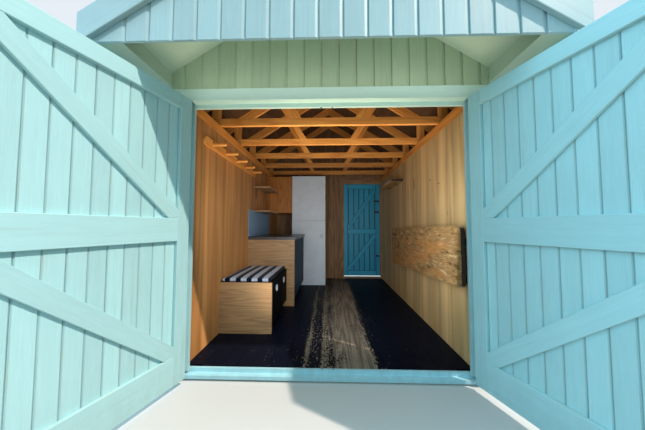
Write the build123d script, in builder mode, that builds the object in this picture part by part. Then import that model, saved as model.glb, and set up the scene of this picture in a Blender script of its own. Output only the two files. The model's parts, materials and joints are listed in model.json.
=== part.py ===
from build123d import *
import math
import os

os.makedirs("parts", exist_ok=True)

# Timber beach hut with a recessed front, two braced front doors and a trussed roof.
# X runs across the hut, Y runs from the front inwards, Z is up from the ground.

# Body of the hut
HALF_WIDTH = 1260
WALL_THICK = 120
DEPTH = 3448
BACK_WALL_THICK = 90
FRAME_HEIGHT = 60
FLOOR_THICK = 20
PLATE_BELOW_HEAD = 30
PLATE_HEIGHT = 97
PLATE_STEP = 20
JOIST_WIDTH = 63
JOIST_PITCH = 560
SEAT = 0.3

# Roof
ROOF_PITCH = 32
RAFTER_LIFT = 11
ROOF_THICK = 30
ROOF_PAST_GABLE = 75
RAFTER_DEPTH = 110
RAFTER_THICK = 38
TIE_HEIGHT = 80
TRUSS_FRONT_GAP = 640
TRUSS_BACK_GAP = 318
TRUSS_COUNT = 5
WEB_FOOT = 285
WEB_DEPTH = 72
HEEL_WIDTH = 90
HEEL_INSET = 20
BACK_OVERHANG = 82
RIDGE_CAP_WIDTH = 150
RIDGE_CAP_THICK = 6

# Front overhang and gable
OVERHANG = 486
GABLE_THICK = 19
GABLE_OVER_HEAD = 20
GABLE_PAST_WALL = 155
BARGE_THICK = 30
BARGE_DROP = 186
BARGE_LIFT = 8
BARGE_PAST_ROOF = 7
SOFFIT_THICK = 18
BEAM_INSIDE_WALL = 12
BEAM_HEIGHT = 38
CHEEK_SET_BACK = 10
FASCIA_THICK = 20
FASCIA_DROP = 8
EAVES_SOFFIT_THICK = 18
EAVES_SOFFIT_GAP = 2
BOX_END_THICK = 18
INNER_GABLE_THICK = 75

# Front doorway
PIN_INSIDE_WALL = 142
PIN_FORWARD = 8
DOOR_BOTTOM = 54
DOOR_HEIGHT = 2134
LEAF_THICK = 44
EDGE_GAP = 3
POST_GAP = 3
MEETING_GAP = 8
STOP_GAP = 6
HEAD_GAP = 6
STOP_COVER_SIDE = 24
STOP_COVER_HEAD = 26
STOP_DEPTH = 25
STOP_RETURN = 36
POST_DEPTH = 120
HEAD_HEIGHT = 96
LINTEL_THICK = 12
LINTEL_INSIDE_WALL = 35
SILL_GAP = 8
SILL_FRONT = 29
SILL_BASE = 17
OPEN_LEFT = 106.7
OPEN_RIGHT = 108.3

# Front door leaves
STILE_WIDTH = 97
TOP_RAIL = 106
MID_RAIL_MIDDLE = 1115
MID_RAIL = 168
BOTTOM_RAIL = 207
BOARD_THICK = 20
BRACE_WIDTH = 100
HINGE_FROM_BOTTOM = 246
HINGE_FROM_TOP = 53
STRAP_LENGTH = 420
STRAP_HEIGHT = 38
STRAP_TIP = 18
STRAP_THICK = 4
KNUCKLE_RADIUS = 6
KNUCKLE_LENGTH = 40
PLATE_LENGTH = 100
PLATE_WIDTH = 40
KNUCKLE_GAP = 0.3
BOLT_WIDTH = 40
BOLT_LENGTH = 160
BOLT_PLATE_THICK = 3
BOLT_ROD_RADIUS = 6
BOLT_INSET = 46
BOLT_CLEAR = 8

# Rear doorway and door
REAR_WIDTH = 780
REAR_FROM_LINING = 30
REAR_BELOW_PLATE = 143
REAR_REBATE = 15
REAR_JAMB = 15
REAR_LEAF_THICK = 40
REAR_GAP = 6
REAR_BOTTOM = 130
REAR_SILL_TOP = 110
REAR_STILE = 90
REAR_RAIL = 110
REAR_MID_RISE = 900
REAR_BRACE = 85
REAR_HINGE_FROM_BOTTOM = 200
REAR_HINGE_FROM_TOP = 176
HASP_LENGTH = 120
HASP_WIDTH = 34
HASP_THICK = 4
HASP_FROM_TOP = 382
HASP_DROP = 240
LATCH_HEIGHT = 557
LATCH_LENGTH = 90
KNOB_RADIUS = 13
KNOB_LENGTH = 22

# Furniture that is built in
BENCH_FRONT = 666
BENCH_DEPTH = 554
BENCH_TOP = 604
BENCH_END_THICK = 25
CUSHION_THICK = 45
UNIT_FRONT = 1530
UNIT_DEPTH = 663
UNIT_TOP = 1004
WORKTOP_THICK = 40
WORKTOP_LIP = 20
WALL_UNIT_WIDTH = 436
CUPBOARD_WIDTH = 642
CUPBOARD_DEPTH = 635
CUPBOARD_BELOW_PLATE = 95
WALL_UNIT_BOTTOM = 1450
WALL_UNIT_CLEAR = 8
SHELF_BEFORE_UNIT = 313
SHELF_LENGTH = 630
SHELF_DEPTH = 240
SHELF_THICK = 25
SHELF_HEIGHTS = (1415, 1785)
BRACKET_INSET = 90
BRACKET_WIDTH = 20
BRACKET_THICK = 4
BRACKET_DROP = 150
ROUGH_FRONT = 1810
ROUGH_LENGTH = 790
ROUGH_DEPTH = 190
ROUGH_THICK = 35
ROUGH_BELOW_PLATE = 278
PANEL_FRONT = 105
PANEL_LENGTH = 2095
PANEL_TOP = 1205
PANEL_HEIGHT = 505
PANEL_TOP_FALL = 45
PANEL_BOTTOM_FALL = 95
PANEL_THICK = 38
PANEL_STAND = 40
PANEL_CORNER = 60
PEG_RAIL_HEIGHT = 90
PEG_RAIL_THICK = 20
PEG_RAIL_BELOW_PLATE = 218
PEG_RAIL_FRONT = 270
PEG_END = 160
PEG_LENGTH = 150
PEG_RADIUS = 17
PEG_PITCH = 300
PEG_COUNT = 5

# Values that follow from the sizes above
TAN = math.tan(math.radians(ROOF_PITCH))
COS = math.cos(math.radians(ROOF_PITCH))
LINING = HALF_WIDTH - WALL_THICK
GABLE_HALF = HALF_WIDTH + GABLE_PAST_WALL
ROOF_HALF_SPAN = GABLE_HALF + ROOF_PAST_GABLE
BARGE_HALF = ROOF_HALF_SPAN + BARGE_PAST_ROOF
BEAM_INNER = HALF_WIDTH - BEAM_INSIDE_WALL
PIN_HALF = HALF_WIDTH - PIN_INSIDE_WALL
LINTEL_HALF = HALF_WIDTH - LINTEL_INSIDE_WALL
FLOOR_TOP = FRAME_HEIGHT + FLOOR_THICK
BACK_INNER = DEPTH - BACK_WALL_THICK
DOOR_TOP = DOOR_BOTTOM + DOOR_HEIGHT
HEAD_BOTTOM = DOOR_TOP + HEAD_GAP
HEAD_TOP = HEAD_BOTTOM + HEAD_HEIGHT
PLATE_TOP = HEAD_TOP - PLATE_BELOW_HEAD
GABLE_BOTTOM = HEAD_TOP + GABLE_OVER_HEAD
PLATE_BOTTOM = PLATE_TOP - PLATE_HEIGHT
TIE_TOP = PLATE_TOP + TIE_HEIGHT
DECK_DROP = ROOF_THICK / COS
RAFTER_DROP = RAFTER_DEPTH / COS
RIDGE_TOP = TIE_TOP + RAFTER_LIFT + RAFTER_DROP + DECK_DROP + TAN * GABLE_HALF
ROOF_FRONT = -OVERHANG
ROOF_BACK = DEPTH + BACK_OVERHANG
GABLE_BACK = -OVERHANG + GABLE_THICK
BEAM_TOP = GABLE_BOTTOM + BEAM_HEIGHT
EAVES_SOFFIT_TOP = PLATE_TOP - EAVES_SOFFIT_GAP
EAVES_SOFFIT_BOTTOM = EAVES_SOFFIT_TOP - EAVES_SOFFIT_THICK
LEAF_START = EDGE_GAP
LEAF_END = PIN_HALF - MEETING_GAP / 2
STOP_EDGE = PIN_HALF - EDGE_GAP - STOP_COVER_SIDE
STOP_FACE = LEAF_THICK + STOP_GAP
STOP_BACK = STOP_FACE + STOP_DEPTH
POST_INNER = STOP_EDGE + STOP_RETURN
STOP_HEAD = DOOR_TOP - STOP_COVER_HEAD
SILL_TOP = DOOR_BOTTOM - SILL_GAP
MID_RAIL_BOTTOM = DOOR_BOTTOM + MID_RAIL_MIDDLE - MID_RAIL / 2
MID_RAIL_TOP = MID_RAIL_BOTTOM + MID_RAIL
HINGE_HEIGHTS = (
    DOOR_BOTTOM + HINGE_FROM_BOTTOM,
    DOOR_BOTTOM + MID_RAIL_MIDDLE,
    DOOR_TOP - HINGE_FROM_TOP,
)
REAR_RIGHT = LINING - REAR_FROM_LINING
REAR_LEFT = REAR_RIGHT - REAR_WIDTH
REAR_TOP = PLATE_TOP - REAR_BELOW_PLATE
REAR_LEAF_X0 = REAR_LEFT - REAR_REBATE + REAR_GAP
REAR_LEAF_X1 = REAR_RIGHT + REAR_REBATE - REAR_GAP
REAR_LEAF_TOP = REAR_TOP + REAR_REBATE - REAR_GAP
REAR_PIN = REAR_LEAF_X0 - EDGE_GAP
REAR_JAMB_X0 = REAR_LEFT - REAR_REBATE - REAR_JAMB
REAR_JAMB_X1 = REAR_RIGHT + REAR_REBATE + REAR_JAMB
REAR_HEAD_TOP = REAR_TOP + REAR_REBATE + REAR_JAMB
REAR_STOP_BACK = DEPTH - REAR_LEAF_THICK - REAR_GAP
REAR_MID_BOTTOM = REAR_BOTTOM + REAR_MID_RISE
REAR_HINGE_HEIGHTS = (REAR_BOTTOM + REAR_HINGE_FROM_BOTTOM, REAR_LEAF_TOP - REAR_HINGE_FROM_TOP)
FLOOR_FRONT = SILL_FRONT + JOIST_WIDTH
BENCH_BACK = UNIT_FRONT - SEAT
BENCH_SIDE = -LINING + BENCH_DEPTH
UNIT_SIDE = -LINING + UNIT_DEPTH
UNIT_BACK = BACK_INNER - CUPBOARD_DEPTH
CUPBOARD_LEFT = -LINING + WALL_UNIT_WIDTH
CUPBOARD_RIGHT = CUPBOARD_LEFT + CUPBOARD_WIDTH
CUPBOARD_TOP = PLATE_TOP - CUPBOARD_BELOW_PLATE
WALL_UNIT_TOP = PLATE_BOTTOM - WALL_UNIT_CLEAR
SHELF_FRONT = UNIT_BACK - SHELF_BEFORE_UNIT - SHELF_LENGTH
ROUGH_BOTTOM = PLATE_BOTTOM - ROUGH_BELOW_PLATE
PEG_RAIL_BOTTOM = PLATE_BOTTOM - PEG_RAIL_BELOW_PLATE
PANEL_BACK = PANEL_FRONT + PANEL_LENGTH
PANEL_BOTTOM = PANEL_TOP - PANEL_HEIGHT
TRUSS_PITCH = (BACK_INNER - TRUSS_BACK_GAP - TRUSS_FRONT_GAP) / (TRUSS_COUNT - 1)
KNUCKLE_REACH = KNUCKLE_LENGTH / 2 + KNUCKLE_GAP
CHEEK_X = BEAM_INNER + CHEEK_SET_BACK


def deck_under(x):
    """Height of the roof boarding's underside at a distance x from the ridge."""
    return RIDGE_TOP - DECK_DROP - TAN * x


def rafter_under(x):
    """Height of the rafters' underside at a distance x from the ridge."""
    return deck_under(x) - RAFTER_DROP


def save(piece, label):
    """Set a finished piece about the origin, under the backs of the posts, and write it."""
    placed = piece.part.moved(Location((0, -POST_DEPTH, 0)))
    placed.label = label
    export_step(placed, f"parts/{label}.step")


def block(x0, x1, y0, y1, z0, z1):
    """Add a rectangular block between two corners to the part being built."""
    with Locations(((x0 + x1) / 2, (y0 + y1) / 2, (z0 + z1) / 2)):
        Box(abs(x1 - x0), abs(y1 - y0), abs(z1 - z0))


def across(points, y0, y1):
    """Add an outline drawn in X and Z, carried from y0 to y1."""
    with BuildSketch(Plane.XZ.offset(-y0)) as outline:
        with BuildLine():
            Polyline(*points, close=True)
        make_face()
    extrude(outline.sketch, amount=-(y1 - y0))


def along_x(points, x0, x1):
    """Add an outline drawn in Y and Z, carried from x0 to x1."""
    with BuildSketch(Plane.YZ.offset(x0)) as outline:
        with BuildLine():
            Polyline(*points, close=True)
        make_face()
    extrude(outline.sketch, amount=x1 - x0)


def upright(points, z0, z1):
    """Add an outline drawn in X and Y, carried from z0 to z1."""
    with BuildSketch(Plane.XY.offset(z0)) as outline:
        with BuildLine():
            Polyline(*points, close=True)
        make_face()
    extrude(outline.sketch, amount=z1 - z0)


# Floor frame: two rim beams along the sides and joists between them
with BuildPart() as rims:
    for side in (-1, 1):
        block(side * (HALF_WIDTH - JOIST_WIDTH), side * HALF_WIDTH, 0, DEPTH, 0, FRAME_HEIGHT)
save(rims, "floor_rim_beams")

with BuildPart() as joists:
    joist_reach = HALF_WIDTH - JOIST_WIDTH
    joist_ends = (FLOOR_FRONT, DEPTH - JOIST_WIDTH)
    joist_count = int((joist_ends[1] - joist_ends[0]) / JOIST_PITCH) + 1
    joist_step = (joist_ends[1] - joist_ends[0]) / joist_count
    for number in range(joist_count + 1):
        start = joist_ends[0] + number * joist_step
        block(-joist_reach, joist_reach, start, start + JOIST_WIDTH, 0, FRAME_HEIGHT)
save(joists, "floor_joists")

with BuildPart() as floor_boards:
    upright(
        [
            (-POST_INNER, FLOOR_FRONT),
            (POST_INNER, FLOOR_FRONT),
            (POST_INNER, POST_DEPTH),
            (LINING, POST_DEPTH),
            (LINING, BACK_INNER),
            (-LINING, BACK_INNER),
            (-LINING, POST_DEPTH),
            (-POST_INNER, POST_DEPTH),
        ],
        FRAME_HEIGHT,
        FLOOR_TOP,
    )
save(floor_boards, "floor_boards")

# Sill: a low ledge under the closed doors with a riser up to the floor
with BuildPart() as door_sill:
    along_x(
        [
            (SILL_FRONT, SILL_BASE),
            (FLOOR_FRONT, SILL_BASE),
            (FLOOR_FRONT, FLOOR_TOP),
            (FLOOR_FRONT - FLOOR_THICK, FLOOR_TOP),
            (FLOOR_FRONT - FLOOR_THICK, SILL_TOP),
            (SILL_FRONT, SILL_TOP),
        ],
        -STOP_EDGE,
        STOP_EDGE,
    )
    for side in (-1, 1):
        block(side * STOP_EDGE, side * joist_reach, SILL_FRONT, FLOOR_FRONT, SILL_BASE, SILL_TOP)
        block(side * STOP_EDGE, side * POST_INNER, STOP_BACK, FLOOR_FRONT, SILL_TOP, FLOOR_TOP)
save(door_sill, "door_sill")

# Front posts, rebated for the leaves, each with a stop along its inner edge
with BuildPart() as posts:
    rebate = PIN_HALF + POST_GAP
    for side in (-1, 1):
        corners = [
            (rebate, 0),
            (HALF_WIDTH, 0),
            (HALF_WIDTH, POST_DEPTH),
            (POST_INNER, POST_DEPTH),
            (POST_INNER, STOP_BACK),
            (STOP_EDGE, STOP_BACK),
            (STOP_EDGE, STOP_FACE),
            (rebate, STOP_FACE),
        ]
        upright([(side * x, y) for x, y in corners], FRAME_HEIGHT, HEAD_TOP)
save(posts, "front_posts")

# Door head, rebated like the posts, and the lintel board in front of it
with BuildPart() as door_head:
    along_x(
        [
            (0, HEAD_BOTTOM),
            (STOP_FACE, HEAD_BOTTOM),
            (STOP_FACE, STOP_HEAD),
            (STOP_BACK, STOP_HEAD),
            (STOP_BACK, HEAD_BOTTOM),
            (POST_DEPTH, HEAD_BOTTOM),
            (POST_DEPTH, HEAD_TOP),
            (0, HEAD_TOP),
        ],
        -STOP_EDGE,
        STOP_EDGE,
    )
    for side in (-1, 1):
        block(side * STOP_EDGE, side * POST_INNER, STOP_BACK, POST_DEPTH, HEAD_BOTTOM, HEAD_TOP)
save(door_head, "door_head")

with BuildPart() as lintel_board:
    block(-LINTEL_HALF, LINTEL_HALF, -LINTEL_THICK, 0, HEAD_BOTTOM, HEAD_TOP)
save(lintel_board, "lintel_board")

# Side walls and the plates on top of them
for side, word in ((-1, "left"), (1, "right")):
    with BuildPart() as wall:
        block(side * LINING, side * HALF_WIDTH, POST_DEPTH, BACK_INNER, FRAME_HEIGHT, PLATE_BOTTOM)
    save(wall, f"{word}_wall")

with BuildPart() as plates:
    for side in (-1, 1):
        inner, outer = side * (LINING - PLATE_STEP), side * HALF_WIDTH
        block(inner, outer, POST_DEPTH, BACK_INNER, PLATE_BOTTOM, PLATE_TOP)
save(plates, "wall_plates")

# Back wall, split beside and over the rear doorway
with BuildPart() as back_wall:
    block(-HALF_WIDTH, REAR_JAMB_X0, BACK_INNER, DEPTH, FRAME_HEIGHT, PLATE_TOP)
    block(REAR_JAMB_X1, HALF_WIDTH, BACK_INNER, DEPTH, FRAME_HEIGHT, PLATE_TOP)
save(back_wall, "back_wall")

with BuildPart() as over_door:
    block(REAR_JAMB_X0, REAR_JAMB_X1, BACK_INNER, DEPTH, REAR_HEAD_TOP, PLATE_TOP)
save(over_door, "back_wall_over_door")

# Rear door frame: jambs and head with stops, and a threshold
with BuildPart() as rear_frame:
    for edge, out in ((REAR_LEFT, -1), (REAR_RIGHT, 1)):
        inner, seat = edge, edge + out * REAR_REBATE
        outer = seat + out * REAR_JAMB
        upright(
            [
                (inner, BACK_INNER),
                (outer, BACK_INNER),
                (outer, DEPTH),
                (seat, DEPTH),
                (seat, REAR_STOP_BACK),
                (inner, REAR_STOP_BACK),
            ],
            FRAME_HEIGHT,
            REAR_TOP,
        )
    along_x(
        [
            (BACK_INNER, REAR_TOP),
            (REAR_STOP_BACK, REAR_TOP),
            (REAR_STOP_BACK, REAR_TOP + REAR_REBATE),
            (DEPTH, REAR_TOP + REAR_REBATE),
            (DEPTH, REAR_HEAD_TOP),
            (BACK_INNER, REAR_HEAD_TOP),
        ],
        REAR_JAMB_X0,
        REAR_JAMB_X1,
    )
save(rear_frame, "rear_door_frame")

with BuildPart() as rear_threshold:
    block(REAR_LEFT, REAR_RIGHT, BACK_INNER, DEPTH, FRAME_HEIGHT, REAR_SILL_TOP)
save(rear_threshold, "rear_threshold")

# Gables: the recessed front one over the doors, the back one and the outer one
for name, y0, y1, bottom in (
    ("front_gable_wall", 0, INNER_GABLE_THICK, HEAD_TOP),
    ("back_gable_wall", BACK_INNER, DEPTH, PLATE_TOP),
):
    with BuildPart() as gable:
        across(
            [
                (-HALF_WIDTH, bottom),
                (HALF_WIDTH, bottom),
                (HALF_WIDTH, deck_under(HALF_WIDTH)),
                (0, deck_under(0)),
                (-HALF_WIDTH, deck_under(HALF_WIDTH)),
            ],
            y0,
            y1,
        )
    save(gable, name)

with BuildPart() as outer_gable:
    across(
        [
            (-GABLE_HALF, GABLE_BOTTOM),
            (GABLE_HALF, GABLE_BOTTOM),
            (GABLE_HALF, deck_under(GABLE_HALF)),
            (0, deck_under(0)),
            (-GABLE_HALF, deck_under(GABLE_HALF)),
        ],
        -OVERHANG,
        GABLE_BACK,
    )
save(outer_gable, "outer_gable_panel")

# Roof slopes, ridge cap and bargeboards
for side, word in ((-1, "left"), (1, "right")):
    with BuildPart() as slope:
        across(
            [
                (0, deck_under(0)),
                (side * ROOF_HALF_SPAN, deck_under(ROOF_HALF_SPAN)),
                (side * ROOF_HALF_SPAN, deck_under(ROOF_HALF_SPAN) + DECK_DROP),
                (0, RIDGE_TOP),
            ],
            ROOF_FRONT,
            ROOF_BACK,
        )
    save(slope, f"{word}_roof_slope")

with BuildPart() as barges:
    top = RIDGE_TOP + BARGE_LIFT
    low = RIDGE_TOP - BARGE_DROP
    for side in (-1, 1):
        outline = [
            (side * SEAT, low),
            (side * BARGE_HALF, low - TAN * BARGE_HALF),
            (side * BARGE_HALF, top - TAN * BARGE_HALF),
            (side * SEAT, top),
        ]
        for start in (ROOF_FRONT - BARGE_THICK, ROOF_BACK):
            across(outline, start, start + BARGE_THICK)
save(barges, "bargeboards")

with BuildPart() as ridge_cap:
    cap_drop = TAN * RIDGE_CAP_WIDTH
    cap_rise = RIDGE_CAP_THICK / COS
    across(
        [
            (-RIDGE_CAP_WIDTH, RIDGE_TOP - cap_drop),
            (0, RIDGE_TOP),
            (RIDGE_CAP_WIDTH, RIDGE_TOP - cap_drop),
            (RIDGE_CAP_WIDTH, RIDGE_TOP - cap_drop + cap_rise),
            (0, RIDGE_TOP + cap_rise),
            (-RIDGE_CAP_WIDTH, RIDGE_TOP - cap_drop + cap_rise),
        ],
        ROOF_FRONT,
        ROOF_BACK,
    )
save(ridge_cap, "ridge_cap")

# Soffits, sloping under the front overhang and level along the eaves
with BuildPart() as soffits:
    drop = SOFFIT_THICK / COS
    for side in (-1, 1):
        across(
            [
                (side * SEAT, rafter_under(SEAT)),
                (side * CHEEK_X, rafter_under(CHEEK_X)),
                (side * CHEEK_X, rafter_under(CHEEK_X) - drop),
                (side * SEAT, rafter_under(SEAT) - drop),
            ],
            GABLE_BACK,
            0,
        )
    for side in (-1, 1):
        x0, x1 = side * HALF_WIDTH, side * GABLE_HALF
        block(x0, x1, 0, ROOF_BACK, EAVES_SOFFIT_BOTTOM, EAVES_SOFFIT_TOP)
save(soffits, "soffits")

# Level beams under the front overhang, and the cheeks over them
with BuildPart() as beams:
    for side in (-1, 1):
        block(side * BEAM_INNER, side * GABLE_HALF, GABLE_BACK, 0, GABLE_BOTTOM, BEAM_TOP)
        cheek_out = CHEEK_X + SOFFIT_THICK
        cheek_top = rafter_under(cheek_out)
        block(side * CHEEK_X, side * cheek_out, GABLE_BACK, 0, BEAM_TOP, cheek_top)
save(beams, "overhang_beams")

# Fascias along the eaves, with a box end in line with the front and back walls
with BuildPart() as fascias:
    outer = GABLE_HALF + FASCIA_THICK
    fascia_bottom = EAVES_SOFFIT_BOTTOM - FASCIA_DROP
    for side in (-1, 1):
        across(
            [
                (side * GABLE_HALF, fascia_bottom),
                (side * outer, fascia_bottom),
                (side * outer, deck_under(outer)),
                (side * GABLE_HALF, deck_under(GABLE_HALF)),
            ],
            ROOF_FRONT,
            ROOF_BACK,
        )
        for y in (0, DEPTH - BOX_END_THICK):
            across(
                [
                    (side * HALF_WIDTH, EAVES_SOFFIT_TOP),
                    (side * GABLE_HALF, EAVES_SOFFIT_TOP),
                    (side * GABLE_HALF, deck_under(GABLE_HALF)),
                    (side * HALF_WIDTH, deck_under(HALF_WIDTH)),
                ],
                y,
                y + BOX_END_THICK,
            )
save(fascias, "fascias")

# Roof trusses: ceiling ties on the plates, rafters, heel posts and leaning webs
truss_lines = [TRUSS_FRONT_GAP + number * TRUSS_PITCH for number in range(TRUSS_COUNT)]

with BuildPart() as ties:
    for y in truss_lines:
        block(
            -GABLE_HALF, GABLE_HALF, y - RAFTER_THICK / 2, y + RAFTER_THICK / 2, PLATE_TOP, TIE_TOP
        )
save(ties, "ceiling_ties")

fly_line = GABLE_BACK + RAFTER_THICK / 2
with BuildPart() as rafters:
    for side in (-1, 1):
        for y in [fly_line] + truss_lines:
            across(
                [
                    (side * SEAT, rafter_under(SEAT)),
                    (side * GABLE_HALF, rafter_under(GABLE_HALF)),
                    (side * GABLE_HALF, deck_under(GABLE_HALF)),
                    (side * SEAT, deck_under(SEAT)),
                ],
                y - RAFTER_THICK / 2,
                y + RAFTER_THICK / 2,
            )
save(rafters, "rafters")

# Each truss has a heel post over either wall and a web that stands square to its
# rafter, so the web's foot on the tie is cut at the roof's pitch
with BuildPart() as webs:
    heel = HALF_WIDTH - HEEL_INSET
    foot = (WEB_FOOT, WEB_FOOT + WEB_DEPTH / COS)
    reach = [(rafter_under(x) - TIE_TOP) / (1 / TAN + TAN) for x in foot]
    for side in (-1, 1):
        for y in truss_lines:
            y0, y1 = y - RAFTER_THICK / 2, y + RAFTER_THICK / 2
            across(
                [
                    (side * heel, TIE_TOP),
                    (side * heel, rafter_under(heel)),
                    (side * (heel - HEEL_WIDTH), rafter_under(heel - HEEL_WIDTH)),
                    (side * (heel - HEEL_WIDTH), TIE_TOP),
                ],
                y0,
                y1,
            )
            across(
                [
                    (side * foot[0], TIE_TOP),
                    (side * foot[1], TIE_TOP),
                    (side * (foot[1] + reach[1]), TIE_TOP + reach[1] / TAN),
                    (side * (foot[0] + reach[0]), TIE_TOP + reach[0] / TAN),
                ],
                y0,
                y1,
            )
save(webs, "truss_webs")


def rod(x, y, radius, z0, z1):
    """Add an upright round rod to the part being built."""
    with Locations((x, y, (z0 + z1) / 2)):
        Cylinder(radius, z1 - z0)


def hinge_straps(pin_x, along, face, out, heights):
    """Add the moving halves of a door's hinges: tapering straps with a knuckle."""
    for z in heights:
        half, tip = STRAP_HEIGHT / 2, STRAP_TIP / 2
        far = pin_x + along * STRAP_LENGTH
        y0, y1 = sorted((face, face + out * STRAP_THICK))
        across([(pin_x, z - half), (far, z - tip), (far, z + tip), (pin_x, z + half)], y0, y1)
        middle = face + out * PIN_FORWARD
        rod(pin_x, middle, KNUCKLE_RADIUS, z - KNUCKLE_LENGTH / 2, z + KNUCKLE_LENGTH / 2)


def hinge_seats(pin_x, along, face, out, heights):
    """Add the fixed halves of a door's hinges: a plate with two knuckles."""
    x0 = pin_x - along * KNUCKLE_RADIUS
    x1 = x0 - along * PLATE_WIDTH
    for z in heights:
        low, high = z - PLATE_LENGTH / 2, z + PLATE_LENGTH / 2
        block(x0, x1, face, face + out * STRAP_THICK, low, high)
        for near, far in ((low, z - KNUCKLE_REACH), (z + KNUCKLE_REACH, high)):
            block(pin_x, x0, face, face + out * STRAP_THICK, near, far)
            rod(pin_x, face + out * PIN_FORWARD, KNUCKLE_RADIUS, near, far)


def brace_outline(s0, z0, s1, z1, width):
    """Outline of a brace whose ends are cut into the corners (s0, z0) and (s1, z1)."""
    length = math.hypot(s1 - s0, z1 - z0)
    run = width / 2 * length / (z1 - z0)
    rise = width / 2 * length / (s1 - s0)
    return [(s0, z0), (s0 + run, z0), (s1, z1 - rise), (s1, z1), (s1 - run, z1), (s0, z0 + rise)]


# Front door leaves. Each is laid out closed, as distances from its hinge pin, and
# then turned about the pin to the angle at which it stands open.
def leaf_pieces(side, word, angle):
    """Build one front door leaf and write its pieces, stood open by the angle."""
    pin = Axis((side * PIN_HALF, -PIN_FORWARD, 0), (0, 0, 1))
    turn = side * angle

    def place(piece, label):
        piece.part = piece.part.rotate(pin, turn)
        save(piece, label)

    def at(s):
        return side * (PIN_HALF - s)

    inner_s, outer_s = LEAF_START + STILE_WIDTH, LEAF_END - STILE_WIDTH
    rail_low, rail_top = DOOR_BOTTOM + BOTTOM_RAIL, DOOR_TOP - TOP_RAIL

    with BuildPart() as stiles:
        block(at(LEAF_START), at(inner_s), 0, LEAF_THICK, DOOR_BOTTOM, DOOR_TOP)
        block(at(outer_s), at(LEAF_END), 0, LEAF_THICK, DOOR_BOTTOM, DOOR_TOP)
    place(stiles, f"{word}_door_stiles")

    with BuildPart() as rails:
        block(at(inner_s), at(outer_s), 0, LEAF_THICK, rail_top, DOOR_TOP)
        block(at(inner_s), at(outer_s), BOARD_THICK, LEAF_THICK, MID_RAIL_BOTTOM, MID_RAIL_TOP)
        block(at(inner_s), at(outer_s), BOARD_THICK, LEAF_THICK, DOOR_BOTTOM, rail_low)
    place(rails, f"{word}_door_rails")

    with BuildPart() as boards:
        block(at(inner_s), at(outer_s), 0, BOARD_THICK, DOOR_BOTTOM, rail_top)
    place(boards, f"{word}_door_boards")

    with BuildPart() as braces:
        for low, high in ((MID_RAIL_TOP, rail_top), (rail_low, MID_RAIL_BOTTOM)):
            outline = brace_outline(inner_s, low, outer_s, high, BRACE_WIDTH)
            across([(at(s), z) for s, z in outline], BOARD_THICK, LEAF_THICK)
    place(braces, f"{word}_door_braces")

    with BuildPart() as straps:
        hinge_straps(side * PIN_HALF, -side, 0, -1, HINGE_HEIGHTS)
    place(straps, f"{word}_door_hinges")

    # Shoot bolts on the meeting stile, top and bottom, drawn back
    with BuildPart() as bolts:
        for near, up in ((DOOR_BOTTOM + BOLT_INSET / 2, 1), (STOP_HEAD - BOLT_CLEAR, -1)):
            far = near + up * BOLT_LENGTH
            middle = at(LEAF_END - BOLT_INSET)
            block(
                middle - BOLT_WIDTH / 2,
                middle + BOLT_WIDTH / 2,
                LEAF_THICK,
                LEAF_THICK + BOLT_PLATE_THICK,
                near,
                far,
            )
            rod(
                middle,
                LEAF_THICK + BOLT_PLATE_THICK + BOLT_ROD_RADIUS / 2,
                BOLT_ROD_RADIUS,
                min(near, far),
                max(near, far),
            )
    place(bolts, f"{word}_door_bolts")


leaf_pieces(-1, "left", OPEN_LEFT)
leaf_pieces(1, "right", OPEN_RIGHT)

# Fixed halves of the hinges, on the front posts and beside the rear doorway
with BuildPart() as hinge_plates:
    for side in (-1, 1):
        hinge_seats(side * PIN_HALF, -side, 0, -1, HINGE_HEIGHTS)
    hinge_seats(REAR_PIN, 1, DEPTH, 1, REAR_HINGE_HEIGHTS)
save(hinge_plates, "hinge_plates")

# Rear door: boards outside, framing inside, closed
rear_face = DEPTH - REAR_LEAF_THICK
rear_board = DEPTH - BOARD_THICK
rear_s0, rear_s1 = REAR_LEAF_X0 + REAR_STILE, REAR_LEAF_X1 - REAR_STILE
rear_low, rear_high = REAR_BOTTOM + REAR_RAIL, REAR_LEAF_TOP - REAR_RAIL
rear_mid_top = REAR_MID_BOTTOM + REAR_RAIL

with BuildPart() as rear_boards:
    block(REAR_LEAF_X0, REAR_LEAF_X1, rear_board, DEPTH, REAR_BOTTOM, REAR_LEAF_TOP)
save(rear_boards, "rear_door_boards")

with BuildPart() as rear_framing:
    block(REAR_LEAF_X0, rear_s0, rear_face, rear_board, REAR_BOTTOM, REAR_LEAF_TOP)
    block(rear_s1, REAR_LEAF_X1, rear_face, rear_board, REAR_BOTTOM, REAR_LEAF_TOP)
    block(rear_s0, rear_s1, rear_face, rear_board, rear_high, REAR_LEAF_TOP)
    block(rear_s0, rear_s1, rear_face, rear_board, REAR_MID_BOTTOM, rear_mid_top)
    block(rear_s0, rear_s1, rear_face, rear_board, REAR_BOTTOM, rear_low)
    for low, high in ((rear_mid_top, rear_high), (rear_low, REAR_MID_BOTTOM)):
        across(brace_outline(rear_s0, low, rear_s1, high, REAR_BRACE), rear_face, rear_board)
save(rear_framing, "rear_door_framing")

with BuildPart() as rear_straps:
    hinge_straps(REAR_PIN, 1, DEPTH, 1, REAR_HINGE_HEIGHTS)
save(rear_straps, "rear_door_hinges")

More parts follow.
